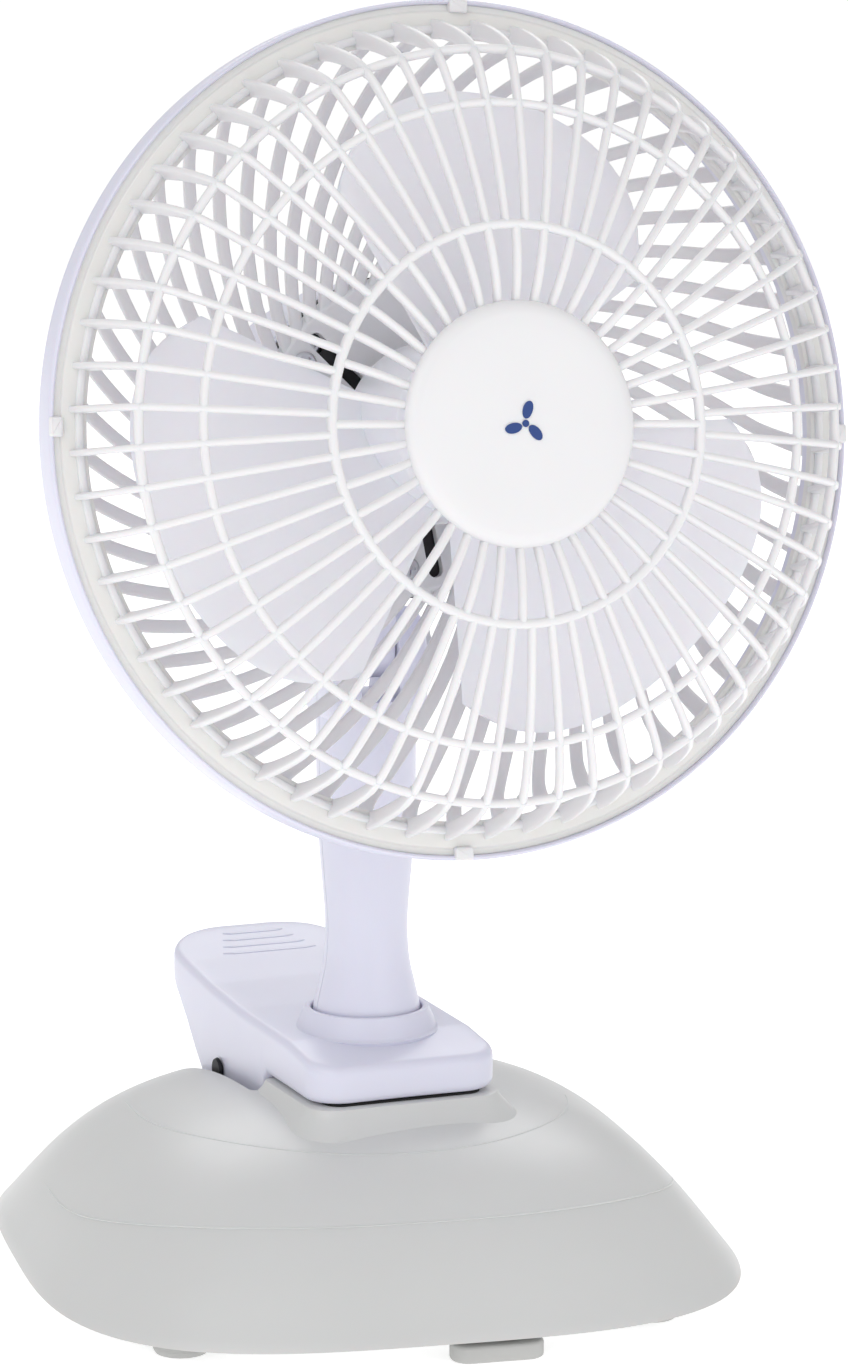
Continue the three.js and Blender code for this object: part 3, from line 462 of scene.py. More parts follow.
def through(knots, count):
    """Points along a smooth curve through the knots, evenly spaced by knot."""
    result = []
    spans = len(knots) - 1
    for i in range(count):
        t = i / (count - 1) * spans
        k = min(int(t), spans - 1)
        t -= k
        p1, p2 = Vector(knots[k]), Vector(knots[k + 1])
        p0 = Vector(knots[k - 1]) if k else p1 * 2 - p2
        p3 = Vector(knots[k + 2]) if k + 2 <= spans else p2 * 2 - p1
        result.append(0.5 * (
            p1 * 2 + (p2 - p0) * t + (p0 * 2 - p1 * 5 + p2 * 4 - p3) * t**2 + (p1 * 3 - p0 - p2 * 3 + p3) * t**3
        ))
    return result


def level_at(knots, x):
    """Height at x on a smooth line through [x, height] knots."""
    if x <= knots[0][0]:
        return knots[0][1]
    for (x0, y0), (x1, y1) in zip(knots, knots[1:]):
        if x <= x1:
            t = (x - x0) / (x1 - x0)
            return y0 + (y1 - y0) * t
    return knots[-1][1]


def disc_tool(radius, low, high, x=0.0, y=0.0, sides=48):
    return pillow("tool", circle(radius, sides, x, y), [(0, low), (0, high)])


# A raised body turned to lie along the fan axis: its height points back and its v points down.
ALONG_Y = Matrix(((1, 0, 0, 0), (0, 0, 1, 0), (0, -1, 0, 0), (0, 0, 0, 1)))
# A raised body turned to lie sideways: its outline is drawn in y and z and its height points along x.
ALONG_X = Matrix(((0, 0, 1, 0), (1, 0, 0, 0), (0, 1, 0, 0), (0, 0, 0, 1)))


# ---- Geometry Nodes: pieces that repeat ---------------------------------------------------------


def finishing_nodes(tree, points, instance, rotation, material, out):
    """Instances on the points, made real and given their material."""
    nodes, links = tree.nodes, tree.links
    stamp = nodes.new("GeometryNodeInstanceOnPoints")
    realize = nodes.new("GeometryNodeRealizeInstances")
    paint = nodes.new("GeometryNodeSetMaterial")
    links.new(points, stamp.inputs["Points"])
    links.new(instance, stamp.inputs["Instance"])
    if rotation is not None:
        links.new(rotation, stamp.inputs["Rotation"])
    links.new(stamp.outputs["Instances"], realize.inputs["Geometry"])
    links.new(realize.outputs["Geometry"], paint.inputs["Geometry"])
    links.new(material, paint.inputs["Material"])
    links.new(paint.outputs["Geometry"], out)


def new_tree(title, sockets):
    """An empty tree with geometry in and out and the named inputs."""
    tree = bpy.data.node_groups.new(title, "GeometryNodeTree")
    tree.interface.new_socket("Geometry", in_out="OUTPUT", socket_type="NodeSocketGeometry")
    tree.interface.new_socket("Piece", in_out="INPUT", socket_type="NodeSocketGeometry")
    for name, kind, default in sockets:
        socket = tree.interface.new_socket(name, in_out="INPUT", socket_type=kind)
        if default is not None:
            socket.default_value = default
    return tree, tree.nodes.new("NodeGroupInput"), tree.nodes.new("NodeGroupOutput")


def around_axis_tree():
    """Repeats one piece round the fan axis, local Y."""
    tree, given, out = new_tree("Repeat round the fan axis", [
        ("Count", "NodeSocketInt", 3), ("First angle", "NodeSocketFloat", 0.0), (
            "Material", "NodeSocketMaterial", None
        ),
    ])
    nodes, links = tree.nodes, tree.links
    points = nodes.new("GeometryNodePoints")
    index = nodes.new("GeometryNodeInputIndex")
    step = nodes.new("ShaderNodeMath")
    step.operation = "DIVIDE"
    step.inputs[0].default_value = -TAU
    turn = nodes.new("ShaderNodeMath")
    turn.operation = "MULTIPLY"
    total = nodes.new("ShaderNodeMath")
    total.operation = "SUBTRACT"
    angles = nodes.new("ShaderNodeCombineXYZ")
    rotation = nodes.new("FunctionNodeEulerToRotation")
    links.new(given.outputs["Count"], points.inputs["Count"])
    links.new(given.outputs["Count"], step.inputs[1])
    links.new(index.outputs["Index"], turn.inputs[0])
    links.new(step.outputs["Value"], turn.inputs[1])
    links.new(turn.outputs["Value"], total.inputs[0])
    links.new(given.outputs["First angle"], total.inputs[1])
    links.new(total.outputs["Value"], angles.inputs["Y"])
    links.new(angles.outputs["Vector"], rotation.inputs["Euler"])
    finishing_nodes(
        tree, points.outputs["Points"], given.outputs["Piece"], rotation.outputs["Rotation"],
        given.outputs["Material"], out.inputs["Geometry"],
    )
    return tree


def on_grid_tree():
    """Repeats one piece at the points of a rectangular grid."""
    tree, given, out = new_tree("Repeat on a grid", [
        ("Width", "NodeSocketFloat", 10.0), ("Depth", "NodeSocketFloat", 10.0), (
            "Columns", "NodeSocketInt", 2
        ),
        ("Rows", "NodeSocketInt", 2), ("Material", "NodeSocketMaterial", None),
    ])
    grid = tree.nodes.new("GeometryNodeMeshGrid")
    for name, socket in (
        ("Width", "Size X"), ("Depth", "Size Y"), ("Columns", "Vertices X"), ("Rows", "Vertices Y")
    ):
        tree.links.new(given.outputs[name], grid.inputs[socket])
    finishing_nodes(
        tree, grid.outputs["Mesh"], given.outputs["Piece"], None, given.outputs["Material"], out.inputs[
            "Geometry"
        ]
    )
    return tree


trees = {}


def repeated(made, kind, **values):
    """Runs the object through a repeating tree and leaves a plain mesh."""
    if kind not in trees:
        trees[kind] = {"around": around_axis_tree, "grid": on_grid_tree}[kind]()
    tree = trees[kind]
    modifier = made.modifiers.new(tree.name, "NODES")
    modifier.node_group = tree
    for item in tree.interface.items_tree:
        if item.item_type == "SOCKET" and item.in_out == "INPUT" and item.name in values:
            modifier[item.identifier] = values[item.name]
    return bake(made)


def around(made, count, first_angle, slot):
    return repeated(made, "around", **{"Count": count, "First angle": first_angle, "Material": finish(slot)})


def on_grid(made, width, depth, slot, columns=2, rows=2):
    return repeated(made, "grid", Width=width, Depth=depth, Columns=columns, Rows=rows, Material=finish(slot))


# ---- small hardware -----------------------------------------------------------------------------


def screw(name, head, head_height, shank, shank_length):
    """A pan-head screw along +Z, head down, with a cross recess."""
    profile = [
        (0, 0), *softened([(head * 0.75, 0), (head, head_height * 0.45), (head, head_height)], 0.5, 3, False)
    ]
    profile += [(shank, head_height), (shank, head_height + shank_length), (0, head_height + shank_length)]
    body = turned(name, profile, 32)
    recess = head_height * 0.55
    arms = [
        pillow("tool", rounded_rectangle(-a, a, -b, b, 0.15, 2), [(0, -1), (0, recess)])
        for a, b in ((head * 0.55, head * 0.13), (head * 0.13, head * 0.55))
    ]
    return shape_with(body, "DIFFERENCE", *arms)


# ---- base ---------------------------------------------------------------------------------------

BASE_CENTRE_Y = 6.8
BASE_CORNER = 3.25
UNDERSIDE = 4.2
COVER_SHARE = 71 / 82
SEAT = {"half_width": 23.6, "front": -28.2, "back": 6, "top": 47.0}
SLOT = {"half_width": 26, "front": 6, "back": 81, "floor": 19}
SIDE_FEET = {"x": 54, "front": -50, "back_x": 52, "back": 34, "radius": 6.4}
FRONT_FOOT = {"x": 12.5, "y": -71, "length": 21, "width": 9}
SCREW_GRID = {"x": 52, "front": -34, "back": 50}
# Each crease: centre in y, half width, half depth, squareness, first and last angle in degrees.
CREASES = ((26, 51, 67.5, 2.3, 174, 344), (20, 72, 81, 2.8, 178, 334))
TO_UNIT = STAND.inverted() @ UNIT


def base_point(share, angle, settings):
    """Plan position on the base's rounded-square outline, at a share of its full size."""
    power = 2 + (BASE_CORNER - 2) * min(1.0, share)
    c, s = cos(angle), sin(angle)
    pull = (abs(c) ** power + abs(s) ** power) ** (-1 / power)
    return (
        share * settings.half_width / MM * c * pull,
        share * settings.half_depth / MM * s * pull + BASE_CENTRE_Y,
    )


def dome_line(settings, steps=72):
    """[share, height] from the skirt up to the crown."""
    crown = settings.crown / MM
    knots = [(1, 6.8), (68.5 / 82, 24), (58 / 82, crown), (0, crown)]
    line = []
    for i in range(steps + 1):
        t = i / steps
        w = ((1 - t) ** 3, 3 * t * (1 - t) ** 2, 3 * t * t * (1 - t), t**3)
        line.append(tuple(sum(a * k[n] for a, k in zip(w, knots)) for n in (0, 1)))
    return line


def dome_height(x, y, settings, line):
    """Height of the dome above a plan position."""
    low, high = 0.0, 1.2
    dx, dy = x / (settings.half_width / MM), (y - BASE_CENTRE_Y) / (settings.half_depth / MM)
    for _ in range(30):
        share = (low + high) / 2
        power = 2 + (BASE_CORNER - 2) * min(1.0, share)
        outside = (abs(dx) / share) ** power + (abs(dy) / share) ** power > 1
        low, high = (share, high) if outside else (low, share)
    for (s0, z0), (s1, z1) in zip(line, line[1:]):
        if s1 <= share <= s0:
            return z0 + (z1 - z0) * (s0 - share) / max(1e-9, s0 - s1)
    return line[0][1]


def base_layer(profile, settings, sides):
    """Rows of points round the base outline, one for each [share, height]."""
    verts = []
    for share, height in profile:
        for k in range(sides):
            x, y = base_point(share, TAU * k / sides, settings)
            verts.append((x, y, height))
    return verts


def base_plate(name, profile, settings, sides=160):
    verts = base_layer(profile, settings, sides)
    return draft(name, verts, bridge(len(profile), sides))


class DESKFAN_OT_base(bpy.types.Operator):
    """Make the weighted base: dome, underside cover, screws and ballast"""

    bl_idname = "desk_fan.base"
    bl_label = "Base"

    def execute(self, context):
        settings = context.scene.desk_fan_base
        line = dome_line(settings)
        skirt = softened(
            [(COVER_SHARE + 0.006, UNDERSIDE + 0.5), (78 / 82, 5.8), (1.0, 6.8), line[3]], 0.03, 6, False
        )
        under = [(0, UNDERSIDE + 2.2), (COVER_SHARE + 0.006, UNDERSIDE + 2.2)]
        profile = under + [(COVER_SHARE + 0.006, UNDERSIDE)] + skirt[1:] + line[4:]
        shell = base_plate("base_dome", profile, settings)
        seat_outline = rounded_rectangle(
            -SEAT["half_width"], SEAT["half_width"], SEAT["front"], SEAT["back"] + 4, 7
        )
        top = SEAT["top"]
        seat_profile = [
            (-8, 36), (-8, 38.2), (-5.6, 40.4), (-3.6, 42.3), (-2, 43.9), (-1, 45.0), (-0.35, 45.9)
        ]
        seat_profile += [(0, 46.5), (0.2, top - 0.15), (0.6, top)]
        seat = moved(pillow("seat", seat_outline, seat_profile), TO_UNIT)
        shape_with(shell, "UNION", seat)
        hole = rounded_rectangle(-SLOT["half_width"], SLOT["half_width"], SLOT["front"], SLOT["back"], 2.5)
        slot_profile = [
            (1.0, SLOT["floor"]), (0, SLOT["floor"] + 1), (0, 43.5), (-0.05, 44.6), (-0.6, 45.2), (-0.6, 60)
        ]
        pocket = pillow("pocket", rounded_rectangle(-22, 22, -24, 10, 3), [(0, 12), (0, 36.2)])
        shape_with(
            shell, "DIFFERENCE", moved(pillow("slot", hole, slot_profile), TO_UNIT), moved(pocket, TO_UNIT)
        )
        settle(shell, STAND, "stand", "base_grey", ["base_shell"], sharp=28)

        up = Vector((0, 0, 1))
        for number, (middle, half_x, half_y, power, first, last) in enumerate(CREASES):
            path, normals = [], []
            for k in range(121):
                angle = radians(first + (last - first) * k / 120)
                c, s = cos(angle), sin(angle)
                pull = (abs(c) ** power + abs(s) ** power) ** (-1 / power)
                x, y = half_x * c * pull, middle + half_y * s * pull
                path.append((x, y, dome_height(x, y, settings, line) - 0.08))
                normals.append(up)
            fade = [0.75 * min(1.0, 4 * sin(pi * k / 120) + 0.1) for k in range(121)]
            crease = swept(f"base_crease_{number + 1}", path, normals, fade, [0.4] * 121, 2.0, 8)
            settle(crease, STAND, "stand", "base_grey", sharp=60)

        cover_profile = [(0, UNDERSIDE), (COVER_SHARE - 0.008, UNDERSIDE), (COVER_SHARE, UNDERSIDE + 0.5)]
        cover_profile += [(COVER_SHARE, UNDERSIDE + 2), (0, UNDERSIDE + 2)]
        cover = base_plate("base_under_cover", cover_profile, settings, 96)
        screws_x, front, back = SCREW_GRID["x"], SCREW_GRID["front"], SCREW_GRID["back"]
        wells = [
            disc_tool(3.4, 0, UNDERSIDE + 1.4, s * screws_x, y, 32) for s in (-1, 1) for y in (front, back)
        ]
        shape_with(cover, "DIFFERENCE", *wells)
        settle(cover, STAND, "stand", "base_grey", ["base_cover"])

        low = span("cover_screw_1")[0]
        screws = on_grid(screw("base_cover_screws", 3, 1.5, 1.3, 9), 2 * screws_x, back - front, "steel")
        moved(screws, Matrix.Translation((0, (front + back) / 2, low)))
        settle(screws, STAND, "stand", "steel", [f"cover_screw_{k}" for k in (1, 2, 3, 4)])
        repaint("cast_iron", "ballast_plate")
        return {"FINISHED"}


class DESKFAN_OT_feet(bpy.types.Operator):
    """Make the rubber feet"""

    bl_idname = "desk_fan.feet"
    bl_label = "Feet"

    def execute(self, context):
        top, r = span("foot_front")[1], SIDE_FEET["radius"]
        profile = [(0, 0), *softened([(r - 0.6, 0), (r, 0.9), (r, top)], 0.6, 4, False), (0, top)]
        for row, x, y in (
            ("front", SIDE_FEET["x"], SIDE_FEET["front"]), ("back", SIDE_FEET["back_x"], SIDE_FEET["back"])
        ):
            feet = on_grid(turned(f"{row}_round_feet", profile, 48), 2 * x, 1, "foot_rubber", 2, 1)
            moved(feet, Matrix.Translation((0, y, 0)))
            settle(feet, STAND, "stand", "foot_rubber", [f"foot_side_left_{row}", f"foot_side_right_{row}"])
        half, wide = FRONT_FOOT["length"] / 2, FRONT_FOOT["width"] / 2
        outline = rounded_rectangle(
            FRONT_FOOT["x"] - half, FRONT_FOOT["x"] + half, FRONT_FOOT["y"] - wide, FRONT_FOOT["y"] + wide, 4
        )
        foot = pillow("long_front_foot", outline, soft_block_profile(0, top, 0.7))
        settle(foot, STAND, "stand", "foot_rubber", ["foot_front"])
        return {"FINISHED"}


# ---- clip ---------------------------------------------------------------------------------------

JAW = {"front": -27.0, "back": 83.0, "edge": 2.2, "front_corner": 8.0, "back_corner": 17.0}
JAW_TOP = [(-27, 56.2), (-20, 57.4), (-8, 58.9), (24, 59.4), (45, 60.8), (62, 62.8), (78, 65.6), (83, 66.2)]
JAW_BELOW = [
    (-27, 47.7), (6.6, 47.7), (7.4, 41), (10, 38), (36, 35), (44, 35.4), (49, 37.2), (54, 41.4), (60, 47.4),
    (66, 52.6), (72, 56.4), (78, 59.2), (83, 61.2),
]
PIVOT = {"y": 36, "z": 42, "radius": 1.5}
COLLAR = {"bore": 12.9, "top": 63.8, "foot": 58.2}


def jaw_body(name, half, top_line, below_line):
    """The upper jaw's outside: a tongue-shaped plan with rounded edges above and below."""
    front, back, edge = JAW["front"], JAW["back"], JAW["edge"]
    outline = rounded_rectangle(-half, half, front, back, JAW["front_corner"], 14, JAW["back_corner"])
    dense = []
    for i, (x, y) in enumerate(outline):
        nx, ny = outline[(i + 1) % len(outline)]
        pieces = max(1, int(hypot(nx - x, ny - y) / 1.5))
        dense += [(x + (nx - x) * k / pieces, y + (ny - y) * k / pieces) for k in range(pieces)]
    depths = [0, 0.04, 0.12, 0.25, 0.45, 0.7, 1.0]
    verts, rows = [], []

    def height(y, above, depth):
        drop = edge - sqrt(max(0.0, edge**2 - (edge - min(depth, edge)) ** 2))
        return level_at(top_line, y) - drop if above else level_at(below_line, y) + drop

    inset_steps = [(d * edge, 0) for d in depths] + [(edge, k / 9) for k in range(1, 10)]
    for above in (False, True):
        for inset, share in (inset_steps[::-1] if not above else inset_steps):
            row = []
            for x, y in dense:
                cy = min(max(y, front + half), back - half)
                t = inset / hypot(x, y - cy)
                t += (1 - t) * share
                px, py = x * (1 - t), y + (cy - y) * t
                row.append((px, py, height(py, above, inset)))
            rows.append(row)
    for row in rows:
        verts += row
    return draft(name, verts, bridge(len(rows), len(dense)))


class DESKFAN_OT_clip(bpy.types.Operator):
    """Make the sprung clip: both jaws, their pads, the pivot pin and the spring"""

    bl_idname = "desk_fan.clip"
    bl_label = "Clip"

    def execute(self, context):
        half = context.scene.desk_fan_clip.jaw_width / MM / 2
        jaw = jaw_body("upper_jaw_and_collar", half, JAW_TOP, JAW_BELOW)
        bore, top, foot = COLLAR["bore"], COLLAR["top"], COLLAR["foot"]
        outside = through([(17, foot + 0.4), (16.3, foot + 0.9), (15.9, foot + 1.9), (14.6, top - 0.8)], 14)
        rim = softened([outside[-1], (14.3, top), (bore, top), (bore, foot - 6)], 0.7, 4, False)
        collar = turned("collar", [(0, foot - 6), (16, foot - 3), *outside[:-1], *rim, (0, foot - 6)], 128)
        shape_with(jaw, "UNION", collar)
        well = turned("well", [(0, 59.1), (bore - 0.01, 59.1), (bore - 0.01, 70), (0, 70)], 96)
        wall = half - 2.6
        hollow_side = [
            (16, 25), (16, 56), (24, 56), (48, 57), (66, 59.8), (74, 61.4), (77, 61), (77, 50), (70, 25)
        ]
        hollow = moved(pillow("hollow", softened(hollow_side, 2, 4), [(0, -wall), (0, wall)]), ALONG_X)
        throat = moved(
            pillow("throat", [(6.2, 25), (17, 25), (17, 47.8), (6.2, 47.8)], [(0, -wall), (0, wall)]), ALONG_X
        )
        pin_hole = disc_tool(PIVOT["radius"] + 0.3, -30, 30, PIVOT["y"], PIVOT["z"], 32)
        shape_with(jaw, "DIFFERENCE", well, hollow, throat, moved(pin_hole, ALONG_X))
        settle(jaw, UNIT, "stand", "clip_white", ["upper_jaw"], sharp=40)

        ridges = []
        for y in (64, 68, 72, 76):
            reach = 12 - 0.35 * (y - 64)
            path = [(reach * (k / 8 - 1), y, level_at(JAW_TOP, y) - 0.05) for k in range(17)]
            fade = [1.5 * min(1.0, 0.15 + 3 * sin(pi * k / 16)) for k in range(17)]
            ridges.append(swept("ridge", path, [(0, 0, 1)] * 17, fade, [0.5] * 17, 2.0, 8))
        settle(merged("upper_jaw_grip_ridges", *ridges), UNIT, "stand", "clip_white", sharp=60)

        low, high = span("upper_jaw_pad")
        pad = pillow(
            "upper_rubber_pad", rounded_rectangle(-19, 19, -25.5, -14.5, 4),
            soft_block_profile(low, high, 0.35)
        )
        settle(pad, UNIT, "stand", "pad_rubber", ["upper_jaw_pad"])

        side = softened([
            (-20, 34.5), (-20, 31), (-17, 29), (20, 29), (36, 37), (64, 39.5), (66, 40.4), (66, 42.6), (
                46, 44
            ),
            (41.5, 45.4), (37, 47), (32.5, 45.6), (30, 41), (26, 34.5),
        ], 1.6, 4)
        lower = moved(pillow("lower_jaw_lever", side, soft_block_profile(-18, 18, 0.8)), ALONG_X)
        gaps = [
            pillow(
                "gap", rounded_rectangle(-11, 11, PIVOT["y"] - 8, PIVOT["y"] + 11, 1.5), [(0, 34), (0, 60)]
            ),
            pillow("gap", rounded_rectangle(-11, 11, 46, 61, 2), [(0, 41.8), (0, 50)]),
            moved(disc_tool(PIVOT["radius"] + 0.3, -30, 30, PIVOT["y"], PIVOT["z"], 32), ALONG_X),
        ]
        shape_with(lower, "DIFFERENCE", *gaps)
        settle(lower, UNIT, "lower_jaw", "clip_white", ["lower_jaw"], sharp=40)
        low, high = span("lower_jaw_pad")
        pad = pillow(
            "lower_rubber_pad", rounded_rectangle(-16, 16, -18, 4, 4), soft_block_profile(low, high, 0.3)
        )
        settle(pad, UNIT, "lower_jaw", "pad_rubber", ["lower_jaw_pad"])

        reach = half + 0.5
        pin_profile = [
            (0, -reach - 0.8), *softened(
                [(2.6, -reach - 0.8), (3, -reach), (1.5, -reach + 0.2)], 0.3, 3, False
            ),
            (1.5, reach - 0.2), (2.4, reach), (2.1, reach + 0.6), (0, reach + 0.6),
        ]
        pin = turned("clip_pivot_pin", pin_profile, 40)
        moved(pin, Matrix.Translation((0, PIVOT["y"], PIVOT["z"])) @ ALONG_X)
        settle(pin, UNIT, "stand", "steel", ["pivot_pin"], finish("black_oxide"))

        coil = {"radius": 3.1, "turns": 5.25, "width": 15}
        path = [(-7.5, PIVOT["y"] + 18 * k / 8, PIVOT["z"] + 3.1 + 10.6 * k / 8) for k in range(8, 0, -1)]
        for k in range(127):
            t = k / 126
            angle = pi / 2 - t * coil["turns"] * TAU
            path.append((
                (t - 0.5) * coil["width"],
                PIVOT["y"] + coil["radius"] * cos(angle),
                PIVOT["z"] + coil["radius"] * sin(angle),
            ))
        path += [(7.5, PIVOT["y"] + 3.1 + 7 * k / 8, PIVOT["z"] + 0.8 * k / 8) for k in range(1, 9)]
        count = len(path)
        spring = swept(
            "clip_torsion_spring", path, [(1, 0.02, 0.01)] * count, [1.4] * count, [1.4] * count, 2.0, 10
        )
        settle(spring, UNIT, "stand", "steel", ["torsion_spring"], finish("black_oxide"), 60)
        return {"FINISHED"}


# ---- neck ---------------------------------------------------------------------------------------

TILT_Z = 148
SHELL_SCREW_HEIGHTS = (90, 122)
NECK_LINE = [
    (12.3, 59.3), (12.35, 61), (12.3, 64), (11.2, 69), (10.1, 74), (9.6, 79), (9.5, 84), (9.9, 90),
    (10.5, 97), (
        11.1, 106
    ),
    (11.4, 114), (11.5, 122), (11.5, 130), (11.6, 136),
]
YOKE = {"half_width": 12, "half_slot": 4.8}


class DESKFAN_OT_neck(bpy.types.Operator):
    """Make the post: its two shells, screws, swivel washer, tilt bolt and nut"""

    bl_idname = "desk_fan.neck"
    bl_label = "Neck"

    def execute(self, context):
        line = [tuple(p) for p in through(NECK_LINE, 80)]
        for half_name, node, sign in (
            ("neck_front_half", "neck_front_shell", -1), ("neck_rear_half", "neck_rear_shell", 1)
        ):
            post_body = turned(half_name, [(0, 59.3), *line, (10.6, 139), (0, 139)], 96)
            ears = softened([
                (-9, 132), (9, 132), (9, TILT_Z), (6.6, TILT_Z + 6.4), (0, TILT_Z + 9), (-6.6, TILT_Z + 6.4),
                (
                    -9, TILT_Z
                ),
            ], 5, 6)
            yoke = moved(
                pillow("yoke", ears, soft_block_profile(-YOKE["half_width"], YOKE["half_width"], 1.4)),
                ALONG_X
            )
            shape_with(post_body, "UNION", yoke)
            gap = pillow(
                "gap", rounded_rectangle(-YOKE["half_slot"], YOKE["half_slot"], -20, 20, 0.5, 2),
                [(0, TILT_Z - 11.5), (0, 180)],
            )
            bolt_hole = moved(disc_tool(2.3, -20, 20, 0, TILT_Z, 32), ALONG_X)
            tools = [gap, bolt_hole]
            if sign > 0:
                for height in SHELL_SCREW_HEIGHTS:
                    well = pillow("well", circle(3.2, 32, 0, -height), [(0, 6.3), (0, 20)])
                    tools.append(moved(well, ALONG_Y))
            keep = pillow("keep", rounded_rectangle(-30, 30, -30, -0.12, 0.2, 1), [(0, 40), (0, 180)])
            if sign > 0:
                keep.data.transform(Matrix.Rotation(pi, 4, "Z"))
            shape_with(post_body, "DIFFERENCE", *tools)
            shape_with(post_body, "INTERSECT", keep)
            settle(post_body, UNIT, "neck", "clip_white", [node], sharp=40)

        for number, height in enumerate(SHELL_SCREW_HEIGHTS):
            shell_screw = screw(f"neck_rear_screw_{number + 1}", 2.8, 1.5, 1.2, 13)
            place = Matrix.Translation((0, 7.9, height)) @ ALONG_Y @ Matrix.Rotation(pi, 4, "X")
            settle(moved(shell_screw, place), UNIT, "neck", "steel", [f"neck_shell_screw_{number + 1}"])

        bolt = screw("tilt_bolt_pan_head", 4.2, 2, 2, 26)
        bolt_place = Matrix.Translation((-14.3, 0, TILT_Z)) @ ALONG_X
        settle(moved(bolt, bolt_place), UNIT, "neck", "steel", ["tilt_bolt"])
        nut = pillow("tilt_hex_nut", circle(4.2, 6), soft_block_profile(12.3, 14.9, 0.4))
        shape_with(nut, "DIFFERENCE", disc_tool(2.15, 10, 20))
        settle(moved(nut, Matrix.Translation((0, 0, TILT_Z)) @ ALONG_X), UNIT, "neck", "steel", ["tilt_nut"])
        repaint("steel", "swivel_washer", "swivel_screw")
        return {"FINISHED"}


# ---- motor --------------------------------------------------------------------------------------

HOUSING = {"radius": 36, "front": 32, "back": 80}
HOUSING_SCREW_RADIUS = 30.2
SWITCH_Z = -3
GLAND_Z = -20
TONGUE = {"y": 60.5, "z": -46.5, "radius": 7.5, "half_width": 4.5}


class DESKFAN_OT_motor(bpy.types.Operator):
    """Make the motor housing, its front plate and screws, and finish the motor inside"""

    bl_idname = "desk_fan.motor"
    bl_label = "Motor"

    def execute(self, context):
        r, front, back = HOUSING["radius"], HOUSING["front"], HOUSING["back"]
        outside = softened(
            [(r, -front), (r, -60), (r - 1.5, -70), (r - 5, -77), (r - 9, -back), (0, -back)], 4, 6, False
        )
        outside = [(r - 2.2, -front), (r, -front), *outside[1:]]
        inside = [(0, -back + 2.2), (r - 10, -back + 2.2), (r - 6.8, -75.6), (r - 3.6, -69.5), (r - 2.2, -60)]
        housing = turned("motor_housing_shell", [*outside, *inside, (r - 2.2, -front)], 128, "Y")
        ty, tz, tr = TONGUE["y"], TONGUE["z"], TONGUE["radius"]
        tongue_side = [(ty - 10, -r + 1.4), (ty - tr, tz)]
        tongue_side += [
            (ty + tr * cos(pi + pi * k / 16), tz + tr * sin(pi + pi * k / 16)) for k in range(1, 16)
        ]
        tongue_side += [(ty + tr, tz), (ty + 10, -r + 1.4)]
        half = TONGUE["half_width"]
        tongue = moved(pillow("tongue", tongue_side, soft_block_profile(-half, half, 0.6)), ALONG_X)
        shape_with(housing, "UNION", tongue)
        cuts = [moved(disc_tool(2.3, -20, 20, ty, tz, 32), ALONG_X)]
        for height in (12, 16, 20):
            slit = pillow(
                "slit", rounded_rectangle(-9, 9, -height - 0.9, -height + 0.9, 0.85, 4), [(0, 70), (0, 90)]
            )
            cuts.append(moved(slit, ALONG_Y))
        for radius, height in ((2.2, SWITCH_Z), (4.3, GLAND_Z)):
            cuts.append(moved(pillow("hole", circle(radius, 32, 0, -height), [(0, 74), (0, 90)]), ALONG_Y))
        groove = turned(
            "groove", [(r - 0.45, -34.2), (r + 1, -34.2), (r + 1, -34.9), (r - 0.45, -34.9)], 128, "Y"
        )
        shape_with(housing, "DIFFERENCE", *cuts, groove)
        settle(housing, HEAD, "head", "clip_white", ["motor_housing"], sharp=40)

        plate_profile = softened([(6.5, -28.4), (r, -28.4), (r, -31.7), (6.5, -31.7)], 0.5, 3)
        plate = turned("motor_black_plate", plate_profile, 128, "Y")
        spots = [radians(45 + 90 * k) for k in range(4)]
        wells = [
            moved(pillow("well", circle(
                3, 24, HOUSING_SCREW_RADIUS * cos(a), -HOUSING_SCREW_RADIUS * sin(a)), [(0, 20),
                (0, 30.2)]), ALONG_Y)
            for a in spots
        ]
        shape_with(plate, "DIFFERENCE", *wells)
        settle(plate, HEAD, "head", "black_plastic", ["motor_front_plate"])

        one = moved(
            screw("motor_plate_screws", 2.6, 1.4, 1.15, 12), Matrix.Translation((0, 28.5, 0)) @ ALONG_Y
        )
        moved(one, Matrix.Translation((HOUSING_SCREW_RADIUS, 0, 0)))
        settle(
            around(one, 4, radians(45), "steel"), HEAD, "head", "steel",
            [f"housing_screw_{k}" for k in (1, 2, 3, 4)]
        )

        repaint("laminations", "stator_core", "rotor_core")
        repaint("copper", "stator_coil")
        repaint("steel", "front_bearing_bracket", "rear_bearing_bracket")
        repaint("brass", "front_bush", "rear_bush")
        repaint("black_plastic", "speed_switch")
        return {"FINISHED"}


